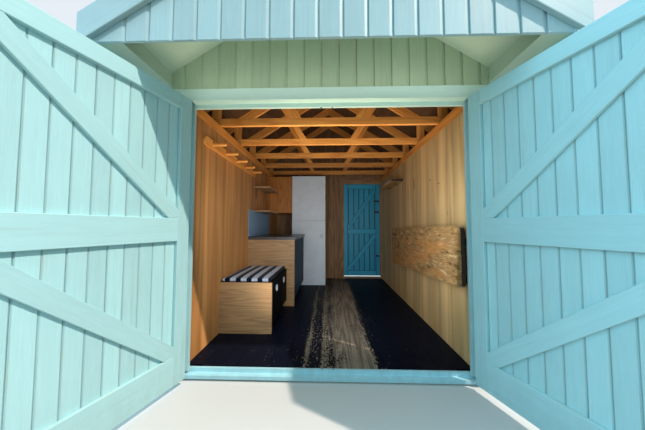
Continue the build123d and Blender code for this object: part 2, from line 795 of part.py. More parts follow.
# Two hasps with their knobs and a thumb latch, inside the rear door's free edge
with BuildPart() as rear_latch:
    edge = REAR_LEAF_X1 - REAR_GAP
    top_hasp = REAR_LEAF_TOP - HASP_FROM_TOP
    for z, reach in (
        (top_hasp, HASP_LENGTH),
        (top_hasp - HASP_DROP, HASP_LENGTH),
        (LATCH_HEIGHT, LATCH_LENGTH),
    ):
        hasp_face = rear_face - HASP_THICK
        block(edge - reach, edge - REAR_REBATE, hasp_face, rear_face, z - HASP_WIDTH / 2, z + HASP_WIDTH / 2)
        with BuildSketch(Plane.XZ.offset(-hasp_face)):
            with Locations((edge - reach / 2 - REAR_REBATE / 2, z)):
                Circle(KNOB_RADIUS)
        extrude(amount=KNOB_LENGTH)
save(rear_latch, "rear_door_latch")

# Bench with a cushion, along the left wall
with BuildPart() as bench_end:
    block(-LINING, BENCH_SIDE, BENCH_FRONT, BENCH_FRONT + BENCH_END_THICK, FLOOR_TOP, BENCH_TOP)
save(bench_end, "bench_end_panel")

with BuildPart() as bench_box:
    block(-LINING, BENCH_SIDE, BENCH_FRONT + BENCH_END_THICK, BENCH_BACK, FLOOR_TOP, BENCH_TOP)
save(bench_box, "bench_box")

with BuildPart() as cushion:
    block(
        -LINING + SEAT,
        BENCH_SIDE,
        BENCH_FRONT,
        BENCH_BACK,
        BENCH_TOP + SEAT,
        BENCH_TOP + SEAT + CUSHION_THICK,
    )
save(cushion, "bench_cushion")

# Kitchen unit and worktop, and the cupboards at the back
with BuildPart() as unit:
    block(-LINING, UNIT_SIDE, UNIT_FRONT, UNIT_BACK - SEAT, FLOOR_TOP, UNIT_TOP)
save(unit, "kitchen_unit")

with BuildPart() as worktop:
    block(
        -LINING, UNIT_SIDE + WORKTOP_LIP, UNIT_FRONT, UNIT_BACK - SEAT, UNIT_TOP, UNIT_TOP + WORKTOP_THICK
    )
save(worktop, "kitchen_worktop")

with BuildPart() as tall_cupboard:
    block(CUPBOARD_LEFT, CUPBOARD_RIGHT, UNIT_BACK, BACK_INNER, FLOOR_TOP, CUPBOARD_TOP)
save(tall_cupboard, "tall_cupboard")

with BuildPart() as wall_unit:
    block(-LINING, CUPBOARD_LEFT, UNIT_BACK, BACK_INNER, WALL_UNIT_BOTTOM, WALL_UNIT_TOP)
save(wall_unit, "wall_cupboard")

# Thick board with rounded corners on the right wall, stood off on two battens. It
# hangs a little out of level and is wider at its far end.
with BuildPart() as side_board:
    inner = LINING - PANEL_STAND
    with BuildSketch(Plane.YZ.offset(inner - PANEL_THICK)) as face:
        with BuildLine():
            Polyline(
                (PANEL_FRONT, PANEL_BOTTOM),
                (PANEL_BACK, PANEL_BOTTOM - PANEL_BOTTOM_FALL),
                (PANEL_BACK, PANEL_TOP - PANEL_TOP_FALL),
                (PANEL_FRONT, PANEL_TOP),
                close=True,
            )
        make_face()
        fillet(face.vertices(), radius=PANEL_CORNER)
    extrude(amount=PANEL_THICK)
    for z in (PANEL_BOTTOM + PANEL_CORNER / 2, PANEL_TOP - PANEL_TOP_FALL - 2 * PANEL_CORNER):
        block(
            inner, LINING, PANEL_FRONT + PANEL_CORNER, PANEL_BACK - PANEL_CORNER, z, z + PANEL_CORNER
        )
save(side_board, "side_board")

# Peg rail with round ends on the left wall
with BuildPart() as peg_rail:
    rail_middle = PEG_RAIL_BOTTOM + PEG_RAIL_HEIGHT / 2
    rail_length = (PEG_COUNT - 1) * PEG_PITCH + 2 * PEG_END
    with BuildSketch(Plane.YZ.offset(-LINING)):
        with Locations((PEG_RAIL_FRONT + rail_length / 2, rail_middle)):
            SlotOverall(rail_length, PEG_RAIL_HEIGHT)
    extrude(amount=PEG_RAIL_THICK)
    with BuildSketch(Plane.YZ.offset(-LINING + PEG_RAIL_THICK)):
        for number in range(PEG_COUNT):
            with Locations((PEG_RAIL_FRONT + PEG_END + number * PEG_PITCH, rail_middle)):
                Circle(PEG_RADIUS)
    extrude(amount=PEG_LENGTH)
save(peg_rail, "peg_rail")

# Shelves: two on brackets on the left wall and a rough one on the right wall
with BuildPart() as shelves:
    for z in SHELF_HEIGHTS:
        block(
            -LINING, SHELF_DEPTH - LINING, SHELF_FRONT, SHELF_FRONT + SHELF_LENGTH, z, z + SHELF_THICK
        )
save(shelves, "wall_shelves")

with BuildPart() as brackets:
    for z in SHELF_HEIGHTS:
        for y in (SHELF_FRONT + BRACKET_INSET, SHELF_FRONT + SHELF_LENGTH - BRACKET_INSET):
            y0, y1 = y - BRACKET_WIDTH / 2, y + BRACKET_WIDTH / 2
            block(-LINING, SHELF_DEPTH - LINING - BRACKET_WIDTH, y0, y1, z - BRACKET_THICK, z)
            block(-LINING, BRACKET_THICK - LINING, y0, y1, z - BRACKET_DROP, z)
save(brackets, "shelf_brackets")

with BuildPart() as rough_shelf:
    block(
        LINING - ROUGH_DEPTH,
        LINING,
        ROUGH_FRONT,
        ROUGH_FRONT + ROUGH_LENGTH,
        ROUGH_BOTTOM,
        ROUGH_BOTTOM + ROUGH_THICK,
    )
save(rough_shelf, "rough_shelf")
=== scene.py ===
import json
import math
import random

import bmesh
import bpy
from mathutils import Matrix, Vector
from mathutils.bvhtree import BVHTree

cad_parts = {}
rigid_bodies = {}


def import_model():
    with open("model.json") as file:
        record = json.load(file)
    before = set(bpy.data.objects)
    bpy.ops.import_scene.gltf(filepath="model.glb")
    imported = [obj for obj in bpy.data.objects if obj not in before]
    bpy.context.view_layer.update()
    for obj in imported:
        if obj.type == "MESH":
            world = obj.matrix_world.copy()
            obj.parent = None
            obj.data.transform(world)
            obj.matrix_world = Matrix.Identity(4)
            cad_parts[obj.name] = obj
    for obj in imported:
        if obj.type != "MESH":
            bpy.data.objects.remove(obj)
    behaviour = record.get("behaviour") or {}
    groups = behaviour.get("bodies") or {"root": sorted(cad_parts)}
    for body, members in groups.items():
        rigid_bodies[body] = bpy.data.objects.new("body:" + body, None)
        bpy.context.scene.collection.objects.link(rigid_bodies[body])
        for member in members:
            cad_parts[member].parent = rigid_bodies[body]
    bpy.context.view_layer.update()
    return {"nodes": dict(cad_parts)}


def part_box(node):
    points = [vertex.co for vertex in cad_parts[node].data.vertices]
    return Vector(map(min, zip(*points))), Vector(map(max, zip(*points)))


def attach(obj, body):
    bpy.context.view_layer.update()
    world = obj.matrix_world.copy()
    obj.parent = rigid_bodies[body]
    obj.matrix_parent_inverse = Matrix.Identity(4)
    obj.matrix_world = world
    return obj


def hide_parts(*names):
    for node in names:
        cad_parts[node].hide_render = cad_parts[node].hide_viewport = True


for leftover in list(bpy.data.objects):
    bpy.data.objects.remove(leftover)

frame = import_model()

# The hut is laid out with y = 0 in the plane of the closed front doors.
SET_BACK = 0.120
UP = Vector((0, 0, 1))
HERE = Matrix.Identity(4)
PITCH = math.radians(32)
SIN, COS, TAN = math.sin(PITCH), math.cos(PITCH), math.tan(PITCH)


def laid(node):
    """A CAD node's lowest and highest corners, in the hut's layout."""
    shift = Vector((0, SET_BACK, 0))
    low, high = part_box(node)
    return low + shift, high + shift


HALF = -laid("left_wall")[1].x
WALL_OUT = laid("right_wall")[1].x
BACK_OUT = laid("back_wall")[1].y
RIDGE = laid("right_roof_slope")[1].z
ROOF_FRONT = laid("right_roof_slope")[0].y
DECK_DROP = 0.030 / COS
RAFTER_DROP = 0.110 / COS


def deck_under(x):
    """Height of the roof boarding's underside."""
    return RIDGE - DECK_DROP - TAN * abs(x)


def rafter_under(x):
    return deck_under(x) - RAFTER_DROP


# Shaders

class Shader:
    """A node material that is put together one node at a time."""

    def __init__(self, name):
        self.material = bpy.data.materials.new(name)
        self.material.use_nodes = True
        self.tree = self.material.node_tree
        self.tree.nodes.clear()
        self.surface = self.put("ShaderNodeBsdfPrincipled")
        output = self.put("ShaderNodeOutputMaterial")
        self.tree.links.new(self.surface.outputs[0], output.inputs["Surface"])

    def put(self, kind, inputs=None, **settings):
        node = self.tree.nodes.new(kind)
        for key, value in settings.items():
            setattr(node, key, value)
        for key, value in (inputs or {}).items():
            self.feed(node.inputs[key], value)
        return node

    def feed(self, socket, value):
        if isinstance(value, bpy.types.NodeSocket):
            self.tree.links.new(value, socket)
        elif isinstance(value, (tuple, list)) and len(value) == 3 and socket.type == "RGBA":
            socket.default_value = (*value, 1.0)
        else:
            socket.default_value = value

    def value(self, name):
        """A number that the mesh carries at each point."""
        return self.put("ShaderNodeAttribute", attribute_name=name).outputs["Fac"]

    def place(self):
        """Where a point is in the row frame at rest."""
        return self.put("ShaderNodeTexCoord").outputs["Object"]

    def timber(self, axis):
        """Grain coordinates and tone: those of each board, or if an axis is given, those of a
        plain CAD node whose grain runs along it."""
        if axis is None:
            grain = self.put("ShaderNodeAttribute", attribute_name="grain").outputs["Vector"]
            return grain, self.value("tone")
        quarter = math.pi / 2
        turn = {"Z": (0, 0, 0), "X": (0, quarter, 0), "Y": (quarter, 0, 0)}[axis]
        inputs = {"Vector": self.place(), "Rotation": turn}
        turned = self.put("ShaderNodeVectorRotate", inputs, rotation_type="EULER_XYZ")
        return turned.outputs[0], 0.5

    def stretch(self, vector, scale):
        inputs = {0: vector, 1: scale}
        return self.put("ShaderNodeVectorMath", inputs, operation="MULTIPLY").outputs[0]

    def split(self, vector):
        return self.put("ShaderNodeSeparateXYZ", {0: vector}).outputs

    def math(self, operation, *values):
        return self.put("ShaderNodeMath", dict(enumerate(values)), operation=operation).outputs[0]

    def add(self, first, second):
        return self.math("ADD", first, second)

    def times(self, first, second):
        return self.math("MULTIPLY", first, second)

    def linear(self, value, slope, start):
        return self.math("MULTIPLY_ADD", value, slope, start)

    def vary(self, base, *parts):
        """A base with fields added that swing about 0.5, each times its own weight."""
        for field, weight in parts:
            base = self.add(base, self.times(self.math("SUBTRACT", field, 0.5), weight))
        return base

    def noise(self, vector, scale, detail=3.0, roughness=0.55):
        inputs = {"Vector": self.stretch(vector, scale), "Scale": 1.0, "Detail": detail,
                  "Roughness": roughness, "Distortion": 0.0}
        return self.put("ShaderNodeTexNoise", inputs).outputs["Fac"]

    def cells(self, vector, scale):
        """Distance to scattered points, and a random number for each."""
        inputs = {"Vector": self.stretch(vector, scale), "Scale": 1.0, "Randomness": 1.0}
        node = self.put("ShaderNodeTexVoronoi", inputs)
        return node.outputs["Distance"], self.split(node.outputs["Color"])[0]

    def spots(self, vector, scale, share, rim, middle):
        """Scattered round spots on a share of the cells: 1 in the middle, 0 outside the rim."""
        distance, pick = self.cells(vector, scale)
        chosen = self.band(pick, 1 - share, 1 - share + 0.03)
        return self.times(self.band(distance, rim, middle), chosen)

    def band(self, fac, low, high, kind="SMOOTHSTEP"):
        """0 below low, 1 above high, or the other way round if low is the larger."""
        inputs = {"Value": fac, "From Min": low, "From Max": high}
        return self.put("ShaderNodeMapRange", inputs, interpolation_type=kind).outputs[0]

    def ramp(self, fac, stops):
        """Grey levels along a field, from (position, level) stops."""
        node = self.put("ShaderNodeValToRGB", {"Fac": fac})
        elements = node.color_ramp.elements
        for number, (position, level) in enumerate(stops):
            item = elements[number] if number < 2 else elements.new(position)
            item.position = position
            item.color = (level, level, level, 1.0)
        return node.outputs["Color"]

    def mix(self, fac, first, second):
        node = self.put("ShaderNodeMix", data_type="RGBA", blend_type="MIX")
        for number, value in ((0, fac), (6, first), (7, second)):
            self.feed(node.inputs[number], value)
        return node.outputs[2]

    def tint(self, colour, value):
        """A colour made lighter or darker by a number round 1."""
        inputs = {"Color": colour, "Value": value, "Fac": 1.0}
        return self.put("ShaderNodeHueSaturation", inputs).outputs[0]

    def finish(self, colour, roughness, height, depth, strength, **constants):
        """The material, with a bump of some depth in metres from a height field."""
        self.feed(self.surface.inputs["Base Color"], colour)
        self.feed(self.surface.inputs["Roughness"], roughness)
        inputs = {"Strength": strength, "Distance": depth, "Height": height}
        bump = self.put("ShaderNodeBump", inputs)
        self.feed(self.surface.inputs["Normal"], bump.outputs[0])
        for key, value in constants.items():
            self.feed(self.surface.inputs[key.replace("_", " ")], value)
        return self.material


def darker(colour, share):
    return tuple(level * share for level in colour)


def wood_wave(s, vector, rings, wander):
    """The rings of a trunk on a sawn face: a field that swings between 0 and 1."""
    field = s.times(s.noise(vector, wander, 2.0, 0.45), rings * 2 * math.pi)
    return s.linear(s.math("SINE", field), 0.5, 0.5)


def bare_wood(name, light, dark, grain=None, rings=9.0, knots=0.3, rough=0.6, tone=0.22,
              wander=(7, 7, 0.55), fibre=0.16, dirt=0.0, strips=0.0):
    """Planed or sawn timber with rings, fibres, knots and a tone that varies by board."""
    s = Shader(name)
    vector, board = s.timber(grain)
    ring = s.math("POWER", wood_wave(s, vector, rings, wander), 1.6)
    fibres = s.noise(vector, (210, 210, 4.5), 3.0, 0.6)
    cloud = s.noise(vector, (5, 5, 1.1), 3.0, 0.5)
    shade = s.vary(s.linear(board, tone, 1 - tone / 2), (fibres, fibre * 2), (cloud, 0.5))
    if strips:
        shade = s.vary(shade, (s.noise(vector, (6, 6, 0.10), 3.0, 0.6), strips))
    colour = s.tint(s.mix(s.times(ring, 0.62), light, dark), shade)
    if knots:
        knot = s.spots(vector, (5.5, 5.5, 1.5), knots, 0.075, 0.035)
        colour = s.mix(s.times(knot, 0.8), colour, darker(dark, 0.28))
    if dirt:
        low = s.band(s.split(s.place())[2], dirt, 0.0)
        low = s.times(low, s.noise(s.place(), (9, 9, 9), 4.0, 0.6))
        colour = s.mix(s.times(low, 0.7), colour, (0.08, 0.065, 0.05))
    return s.finish(colour, rough, s.add(s.times(ring, 0.35), fibres), 0.0006, 0.7)


# Resin and yellowed wood under paint
STAIN = (0.50, 0.40, 0.19)


def painted(name, colour, grain=None, wear=0.5, dirt=0.25, tone=0.10, seam=0.0,
            groove=(0.1, 0.6)):
    """Brushed paint on boards: grain that shows through, resin stains and worn edges."""
    s = Shader(name)
    vector, board = s.timber(grain)
    place = s.place()
    brush = s.noise(vector, (240, 240, 7), 3.0, 0.65)
    rings = wood_wave(s, vector, 8.0, (8, 8, 0.6))
    cloud = s.noise(place, (2.3, 2.3, 2.3), 4.0, 0.6)
    shade = s.vary(s.linear(board, tone, 1 - tone / 2), (brush, 0.22), (cloud, 0.16),
                   (rings, 0.025))
    # Resin that has bled through round knots
    bleed = s.spots(vector, (6.5, 6.5, 1.7), 0.10, 0.13, 0.02)
    base = s.mix(s.times(bleed, 0.45), s.tint(colour, shade), STAIN)
    # Grime that washes down and gathers low
    streak = s.band(s.noise(vector, (34, 34, 1.2), 4.0, 0.62), 0.56, 0.78)
    base = s.mix(s.times(streak, dirt), base, darker(STAIN, 0.62))
    low = s.band(s.split(place)[2], 0.42, 0.02)
    low = s.times(low, s.noise(place, (16, 16, 5), 4.0, 0.65))
    base = s.mix(s.times(low, dirt * 1.6), base, (0.20, 0.19, 0.13))
    # Painted shade: grooves, the foot of each cove and other edges are darkened as if in shadow,
    # with dirt in the grooves as well
    if seam:
        dark = s.times(s.band(s.value("edge"), *groove), seam)
        base = s.mix(dark, base, darker(colour, 0.25))
    if wear and grain is None:
        # Edges rubbed to the yellowed wood beneath
        rub = s.band(s.noise(vector, (70, 70, 5.5), 5.0, 0.7), 0.52, 0.66)
        rub = s.times(rub, s.band(s.value("edge"), 0.25, 0.95))
        base = s.mix(s.times(rub, wear), base, STAIN)
    height = s.add(s.times(brush, 0.6), s.times(rings, 0.25))
    return s.finish(base, 0.5, height, 0.0004, 0.8)


AQUA = (0.42, 0.69, 0.71)
# seam sets how much painted shade, with some dirt, darkens the board grooves
paints = {
    "door_paint": dict(colour=AQUA, wear=0.35, dirt=0.20),
    "leaf_boards": dict(colour=AQUA, wear=0.2, dirt=0.16, seam=0.3, groove=(0.85, 1.0)),
    "gable_paint": dict(colour=(0.37, 0.55, 0.58), wear=0.3, dirt=0.18, seam=0.35,
                        groove=(0.80, 1.0)),
    "sage_paint": dict(colour=(0.42, 0.53, 0.36), wear=0.25, dirt=0.2),
    "teal_paint": dict(colour=(0.022, 0.40, 0.64), wear=0.0, dirt=0.1, tone=0.3, seam=0.8),
    "frame_up": dict(colour=(0.42, 0.64, 0.66), grain="Z", dirt=0.15),
    "frame_over": dict(colour=(0.58, 0.78, 0.68), grain="X", dirt=0.08),
    # The sill's copy of the aqua paint, tinted light blue as painted shade under the sky
    "shade_tinted_sill_paint": dict(colour=(0.42, 0.78, 0.88), grain="X", dirt=0.3),
    "soffit_flat": dict(colour=(0.42, 0.53, 0.40), grain="Y", dirt=0.12),
    "fascia": dict(colour=(0.40, 0.66, 0.70), grain="Y", dirt=0.2),
}
sheet = dict(rings=8, knots=0.16, wander=(2.6, 2.6, 0.20), tone=0.16, fibre=0.12)
woods = {
    "pine": dict(light=(0.82, 0.34, 0.07), dark=(0.60, 0.20, 0.03), knots=0.45, rings=7),
    "sleeper": dict(light=(0.26, 0.20, 0.12), dark=(0.15, 0.11, 0.06), grain="Y"),
    "joists": dict(light=(0.34, 0.25, 0.15), dark=(0.2, 0.14, 0.08), grain="X", dirt=0.2),
    "ply": dict(light=(0.68, 0.43, 0.185), dark=(0.53, 0.305, 0.12), strips=1.1, **sheet),
    "warm_ply": dict(light=(0.58, 0.26, 0.08), dark=(0.38, 0.15, 0.04), strips=0.9, **sheet),
    "dark_boards": dict(light=(0.34, 0.175, 0.07), dark=(0.15, 0.07, 0.024), tone=0.5),
    "jamb": dict(light=(0.40, 0.235, 0.115), dark=(0.21, 0.12, 0.06), grain="Z"),
    "roof_boards": dict(light=(0.090, 0.042, 0.016), dark=(0.040, 0.017, 0.006), knots=0.35),
    "oak": dict(light=(0.45, 0.255, 0.115), dark=(0.25, 0.13, 0.055), rings=16, knots=0,
                wander=(9, 9, 0.5), tone=0.1, rough=0.5, fibre=0.3),
    "orange_oak": dict(light=(0.62, 0.235, 0.045), dark=(0.40, 0.135, 0.022), rings=14,
                       knots=0, wander=(5, 5, 0.35), tone=0.1, rough=0.5),
}
material = {name: painted(name, **look) for name, look in paints.items()}
material.update((name, bare_wood(name, **look)) for name, look in woods.items())


def slab(name):
    """Old rough-sawn timber: streaked, pitted, pale along its edges, and dark on its ends with
    painted shade as well as darker end grain.
    """
    s = Shader(name)
    vector, _ = s.timber(None)
    place = s.place()
    ring = wood_wave(s, vector, 14.0, (12, 12, 0.9))
    blotch = s.noise(place, (17, 5.5, 21), 5.0, 0.7)
    fibres = s.noise(vector, (150, 150, 9), 4.0, 0.7)
    colour = s.mix(s.times(ring, 0.75), (0.42, 0.235, 0.085), (0.22, 0.115, 0.045))
    colour = s.mix(s.band(blotch, 0.53, 0.66), colour, (0.56, 0.38, 0.19))
    colour = s.mix(s.band(blotch, 0.46, 0.34), colour, (0.12, 0.06, 0.024))
    warm = s.band(s.noise(place, (3.1, 1.1, 5.1), 3.0, 0.6), 0.50, 0.66)
    colour = s.mix(s.times(warm, 0.6), colour, (0.54, 0.215, 0.055))
    colour = s.tint(colour, s.add(s.times(fibres, 0.9), 0.55))
    pit = s.spots(place, (70, 30, 75), 0.32, 0.24, 0.14)
    colour = s.mix(s.times(pit, 0.85), colour, (0.03, 0.016, 0.009))
    edge = s.times(s.value("edge"), s.noise(vector, (40, 40, 9), 4.0, 0.6))
    colour = s.mix(s.band(edge, 0.22, 0.5), colour, (0.56, 0.40, 0.24))
    # Painted shade on the ends, the faces that look along y, with darker end grain as well
    facing = s.split(s.put("ShaderNodeNewGeometry").outputs["Normal"])[1]
    end = s.band(s.math("ABSOLUTE", facing), 0.6, 0.85)
    colour = s.mix(end, colour, (0.045, 0.026, 0.016))
    height = s.math("SUBTRACT", s.add(fibres, s.times(blotch, 1.5)), pit)
    return s.finish(colour, 0.85, height, 0.0022, 0.8, Specular_IOR_Level=0.25)


def worn_floor():
    """Black paint on boards, trodden down to grey wood along the middle of the aisle."""
    s = Shader("worn_floor")
    vector, _ = s.timber(None)
    place = s.place()
    ring = wood_wave(s, vector, 9.0, (8, 8, 0.6))
    fibres = s.noise(vector, (190, 190, 3.5), 4.0, 0.65)
    wood = s.mix(ring, (0.27, 0.215, 0.16), (0.15, 0.118, 0.088))
    wood = s.tint(wood, s.linear(fibres, 0.7, 0.65))
    paint = s.mix(s.noise(place, (7, 7, 7), 4.0), (0.002, 0.003, 0.008), (0.005, 0.008, 0.018))
    x, y, _ = s.split(place)
    # How far feet have worn each strip, from left to right, and how it fades to the back
    wander = s.math("SUBTRACT", s.noise(place, (1.4, 0.9, 1), 2.0), 0.5)
    across = s.band(s.add(x, s.times(wander, 0.10)), -0.40, 0.60, "LINEAR")
    strips = ((0.0, 0), (0.17, 0.08), (0.21, 0.72), (0.25, 0.28), (0.31, 0.34), (0.35, 0.74),
              (0.42, 0.5), (0.48, 0.82), (0.62, 1), (0.76, 0.86), (0.82, 0.16), (1.0, 0))
    fade = s.add(s.times(s.band(y, 3.6, 1.5), 0.35), 0.65)
    patch = s.noise(place, (4.5, 1.6, 1), 4.0, 0.6)
    streak = s.noise(vector, (60, 60, 2.2), 5.0, 0.75)
    fleck = s.noise(place, (48, 30, 1), 4.0, 0.7)
    score = s.vary(s.times(s.ramp(across, strips), fade), (patch, 0.8), (streak, 0.9),
                   (fleck, 2.9))
    bare = s.band(score, 0.53, 0.59)
    dust = s.band(s.noise(place, (26, 26, 26), 5.0, 0.7), 0.62, 0.78)
    colour = s.mix(s.times(dust, 0.04), s.mix(bare, paint, wood), (0.20, 0.19, 0.18))
    height = s.math("SUBTRACT", s.times(fibres, 0.5), s.times(bare, 0.4))
    rough = s.linear(bare, 0.35, 0.48)
    return s.finish(colour, rough, height, 0.0008, 0.7, Specular_IOR_Level=0.05)


def mineral_felt():
    """Mineral roofing felt: fine grit with pale weathering."""
    s = Shader("felt")
    place = s.place()
    grit = s.noise(place, (900, 900, 900), 2.0, 0.7)
    patch = s.noise(place, (1.7, 1.7, 1.7), 5.0, 0.6)
    colour = s.mix(patch, (0.075, 0.085, 0.085), (0.15, 0.16, 0.155))
    colour = s.tint(colour, s.add(s.times(grit, 1.1), 0.45))
    return s.finish(colour, 0.9, grit, 0.0012, 0.8)


def metal(name, colour, rough=0.45, metallic=0.6):
    """Black lacquered or galvanised iron with rubbed and dusty patches."""
    s = Shader(name)
    patch = s.noise(s.place(), (60, 60, 60), 5.0, 0.65)
    rubbed = tuple(min(1, level * 2.2 + 0.03) for level in colour)
    shade = s.mix(s.band(patch, 0.55, 0.75), colour, rubbed)
    sheen = s.add(s.times(patch, 0.3), rough - 0.15)
    return s.finish(shade, sheen, patch, 0.0004, 0.5, Metallic=metallic)


def board_finish(name, colour, rough=0.4, speck=0.12):
    """A painted or laminated board: flat, with faint marks and scuffs, and dull if dark."""
    s = Shader(name)
    place = s.place()
    cloud = s.noise(place, (6, 6, 6), 4.0, 0.6)
    scuff = s.band(s.noise(place, (45, 45, 130), 5.0, 0.7), 0.62, 0.8)
    base = s.tint(colour, s.add(s.times(cloud, 0.25), 0.875))
    base = s.mix(s.times(scuff, speck), base, (0.45, 0.42, 0.38))
    fine = s.noise(place, (300, 300, 300), 2.0, 0.6)
    sheen = s.add(s.times(cloud, 0.2), rough - 0.1)
    gloss = 0.5 if colour[0] > 0.02 else 0.05
    return s.finish(base, sheen, fine, 0.0002, 0.4, Specular_IOR_Level=gloss)


def stripes():
    """Woven cotton with bands of navy, white and grey that run along the bench."""
    first, repeat = -1.154, 0.1155
    s = Shader("stripes")
    place = s.place()
    turn = s.math("FRACT", s.times(s.add(s.split(place)[0], -first), 1 / repeat))
    threads = {"Vector": place, "Scale": 330.0, "Distortion": 0.6}
    warp, weft = (s.put("ShaderNodeTexWave", threads, bands_direction=axis).outputs["Fac"]
                  for axis in "XY")
    weave = s.times(warp, weft)
    navy = s.times(s.band(turn, 0.515, 0.52), s.band(turn, 0.995, 0.99))
    line = s.times(s.band(turn, 0.255, 0.26), s.band(turn, 0.285, 0.28))
    colour = s.mix(navy, (0.50, 0.54, 0.64), (0.003, 0.005, 0.018))
    colour = s.mix(s.times(line, 0.5), colour, (0.20, 0.21, 0.26))
    cloud = s.noise(place, (9, 9, 9), 4.0, 0.6)
    colour = s.tint(colour, s.add(s.times(cloud, 0.3), 0.82))
    colour = s.tint(colour, s.add(s.times(weave, 0.2), 0.9))
    return s.finish(colour, 0.85, weave, 0.0005, 0.5, Sheen_Weight=0.06, Specular_IOR_Level=0.1)


material.update(
    rough=slab("rough"),
    floor=worn_floor(),
    felt=mineral_felt(),
    iron=metal("iron", (0.030, 0.030, 0.033)),
    steel=metal("steel", (0.42, 0.42, 0.43), 0.35, 0.95),
    black=board_finish("black", (0.004, 0.004, 0.005), 0.6, 0.008),
    navy=board_finish("navy", (0.020, 0.045, 0.095), 0.5, 0.06),
    worktop=board_finish("worktop", (0.060, 0.055, 0.055), 0.35),
    white=board_finish("white", (0.82, 0.88, 0.94), 0.45, 0.05),
    splash=board_finish("splash", (0.23, 0.38, 0.56), 0.35),
    cotton=stripes(),
)


# Outlines and places

# Wear and painted groove shade fade within this distance from an edge, and a board is cut
# this much short at a joint
SOFT, SLACK = 0.012, 0.0004


def rect(x0, x1, y0, y1):
    return [(x0, y0), (x1, y0), (x1, y1), (x0, y1)]


def mirrored(side, outline):
    """An outline of (distance, height) points, laid out to one side and anticlockwise."""
    points = [(side * a, b) for a, b in outline]
    return points if side > 0 else points[::-1]


def brace_outline(x0, x1, z0, z1, width):
    """A brace that fills a panel from corner to corner, with its ends cut to the panel."""
    length = math.hypot(x1 - x0, z1 - z0)
    run = width / 2 * length / (z1 - z0)
    rise = width / 2 * length / (x1 - x0)
    return [(x0, z0), (x0 + run, z0), (x1, z1 - rise), (x1, z1), (x1 - run, z1), (x0, z0 + rise)]


def inset(outline, amount):
    """A convex outline, drawn anticlockwise, moved inwards all round."""
    count = len(outline)
    lines = []
    for number in range(count):
        (x0, y0), (x1, y1) = outline[number], outline[(number + 1) % count]
        length = math.hypot(x1 - x0, y1 - y0)
        nx, ny = -(y1 - y0) / length, (x1 - x0) / length
        lines.append((nx, ny, nx * x0 + ny * y0 + amount))
    points = []
    for number in range(count):
        a, b = lines[number - 1], lines[number]
        det = a[0] * b[1] - b[0] * a[1]
        points.append(((a[2] * b[1] - b[2] * a[1]) / det, (a[0] * b[2] - b[0] * a[2]) / det))
    return points


def rounded(before, corner, after, radius):
    """The points that take a corner of an outline round an arc, or just the corner."""
    if not radius:
        return [corner]
    spot = Vector(corner)
    back = (Vector(before) - spot).normalized()
    on = (Vector(after) - spot).normalized()
    half = back.angle(on) / 2
    centre = spot + (back + on).normalized() * radius / math.sin(half)
    first = spot + back * radius / math.tan(half) - centre
    last = spot + on * radius / math.tan(half) - centre
    turn = first.angle_signed(last)
    points = []
    for step in range(7):
        angle = -turn * step / 6
        c, s = math.cos(angle), math.sin(angle)
        points.append((centre.x + first.x * c - first.y * s, centre.y + first.x * s + first.y * c))
    return points


def circle(centre, first, second, count):
    """A ring of points round a centre, whose radii are two square vectors."""
    ring = []
    for number in range(count):
        turn = number / count * 2 * math.pi
        ring.append((*(centre + first * math.cos(turn) + second * math.sin(turn)), 0.0))
    return ring


def across_x(x, y, z):
    """A place for a plate in y and z whose thickness runs along x."""
    return Matrix(((0, 0, 1, x), (1, 0, 0, y), (0, 1, 0, z), (0, 0, 0, 1)))


def across_y(x, y, z):
    """A place for a plate in x and z whose thickness runs forwards from y."""
    return Matrix(((1, 0, 0, x), (0, 0, -1, y), (0, 1, 0, z), (0, 0, 0, 1)))


def facing(side):
    """Places for boards on an upright wall: a across to the right as seen from outside the
    wall, b out of the wall, c up. The side is front, back, left or right."""
    a, b = {
        "front": ((1, 0), (0, -1)),
        "back": ((-1, 0), (0, 1)),
        "left": ((0, -1), (-1, 0)),
        "right": ((0, 1), (1, 0)),
    }[side]
    return Matrix(((a[0], b[0], 0, 0), (a[1], b[1], 0, 0), (0, 0, 1, 0), (0, 0, 0, 1)))


# Timber meshes

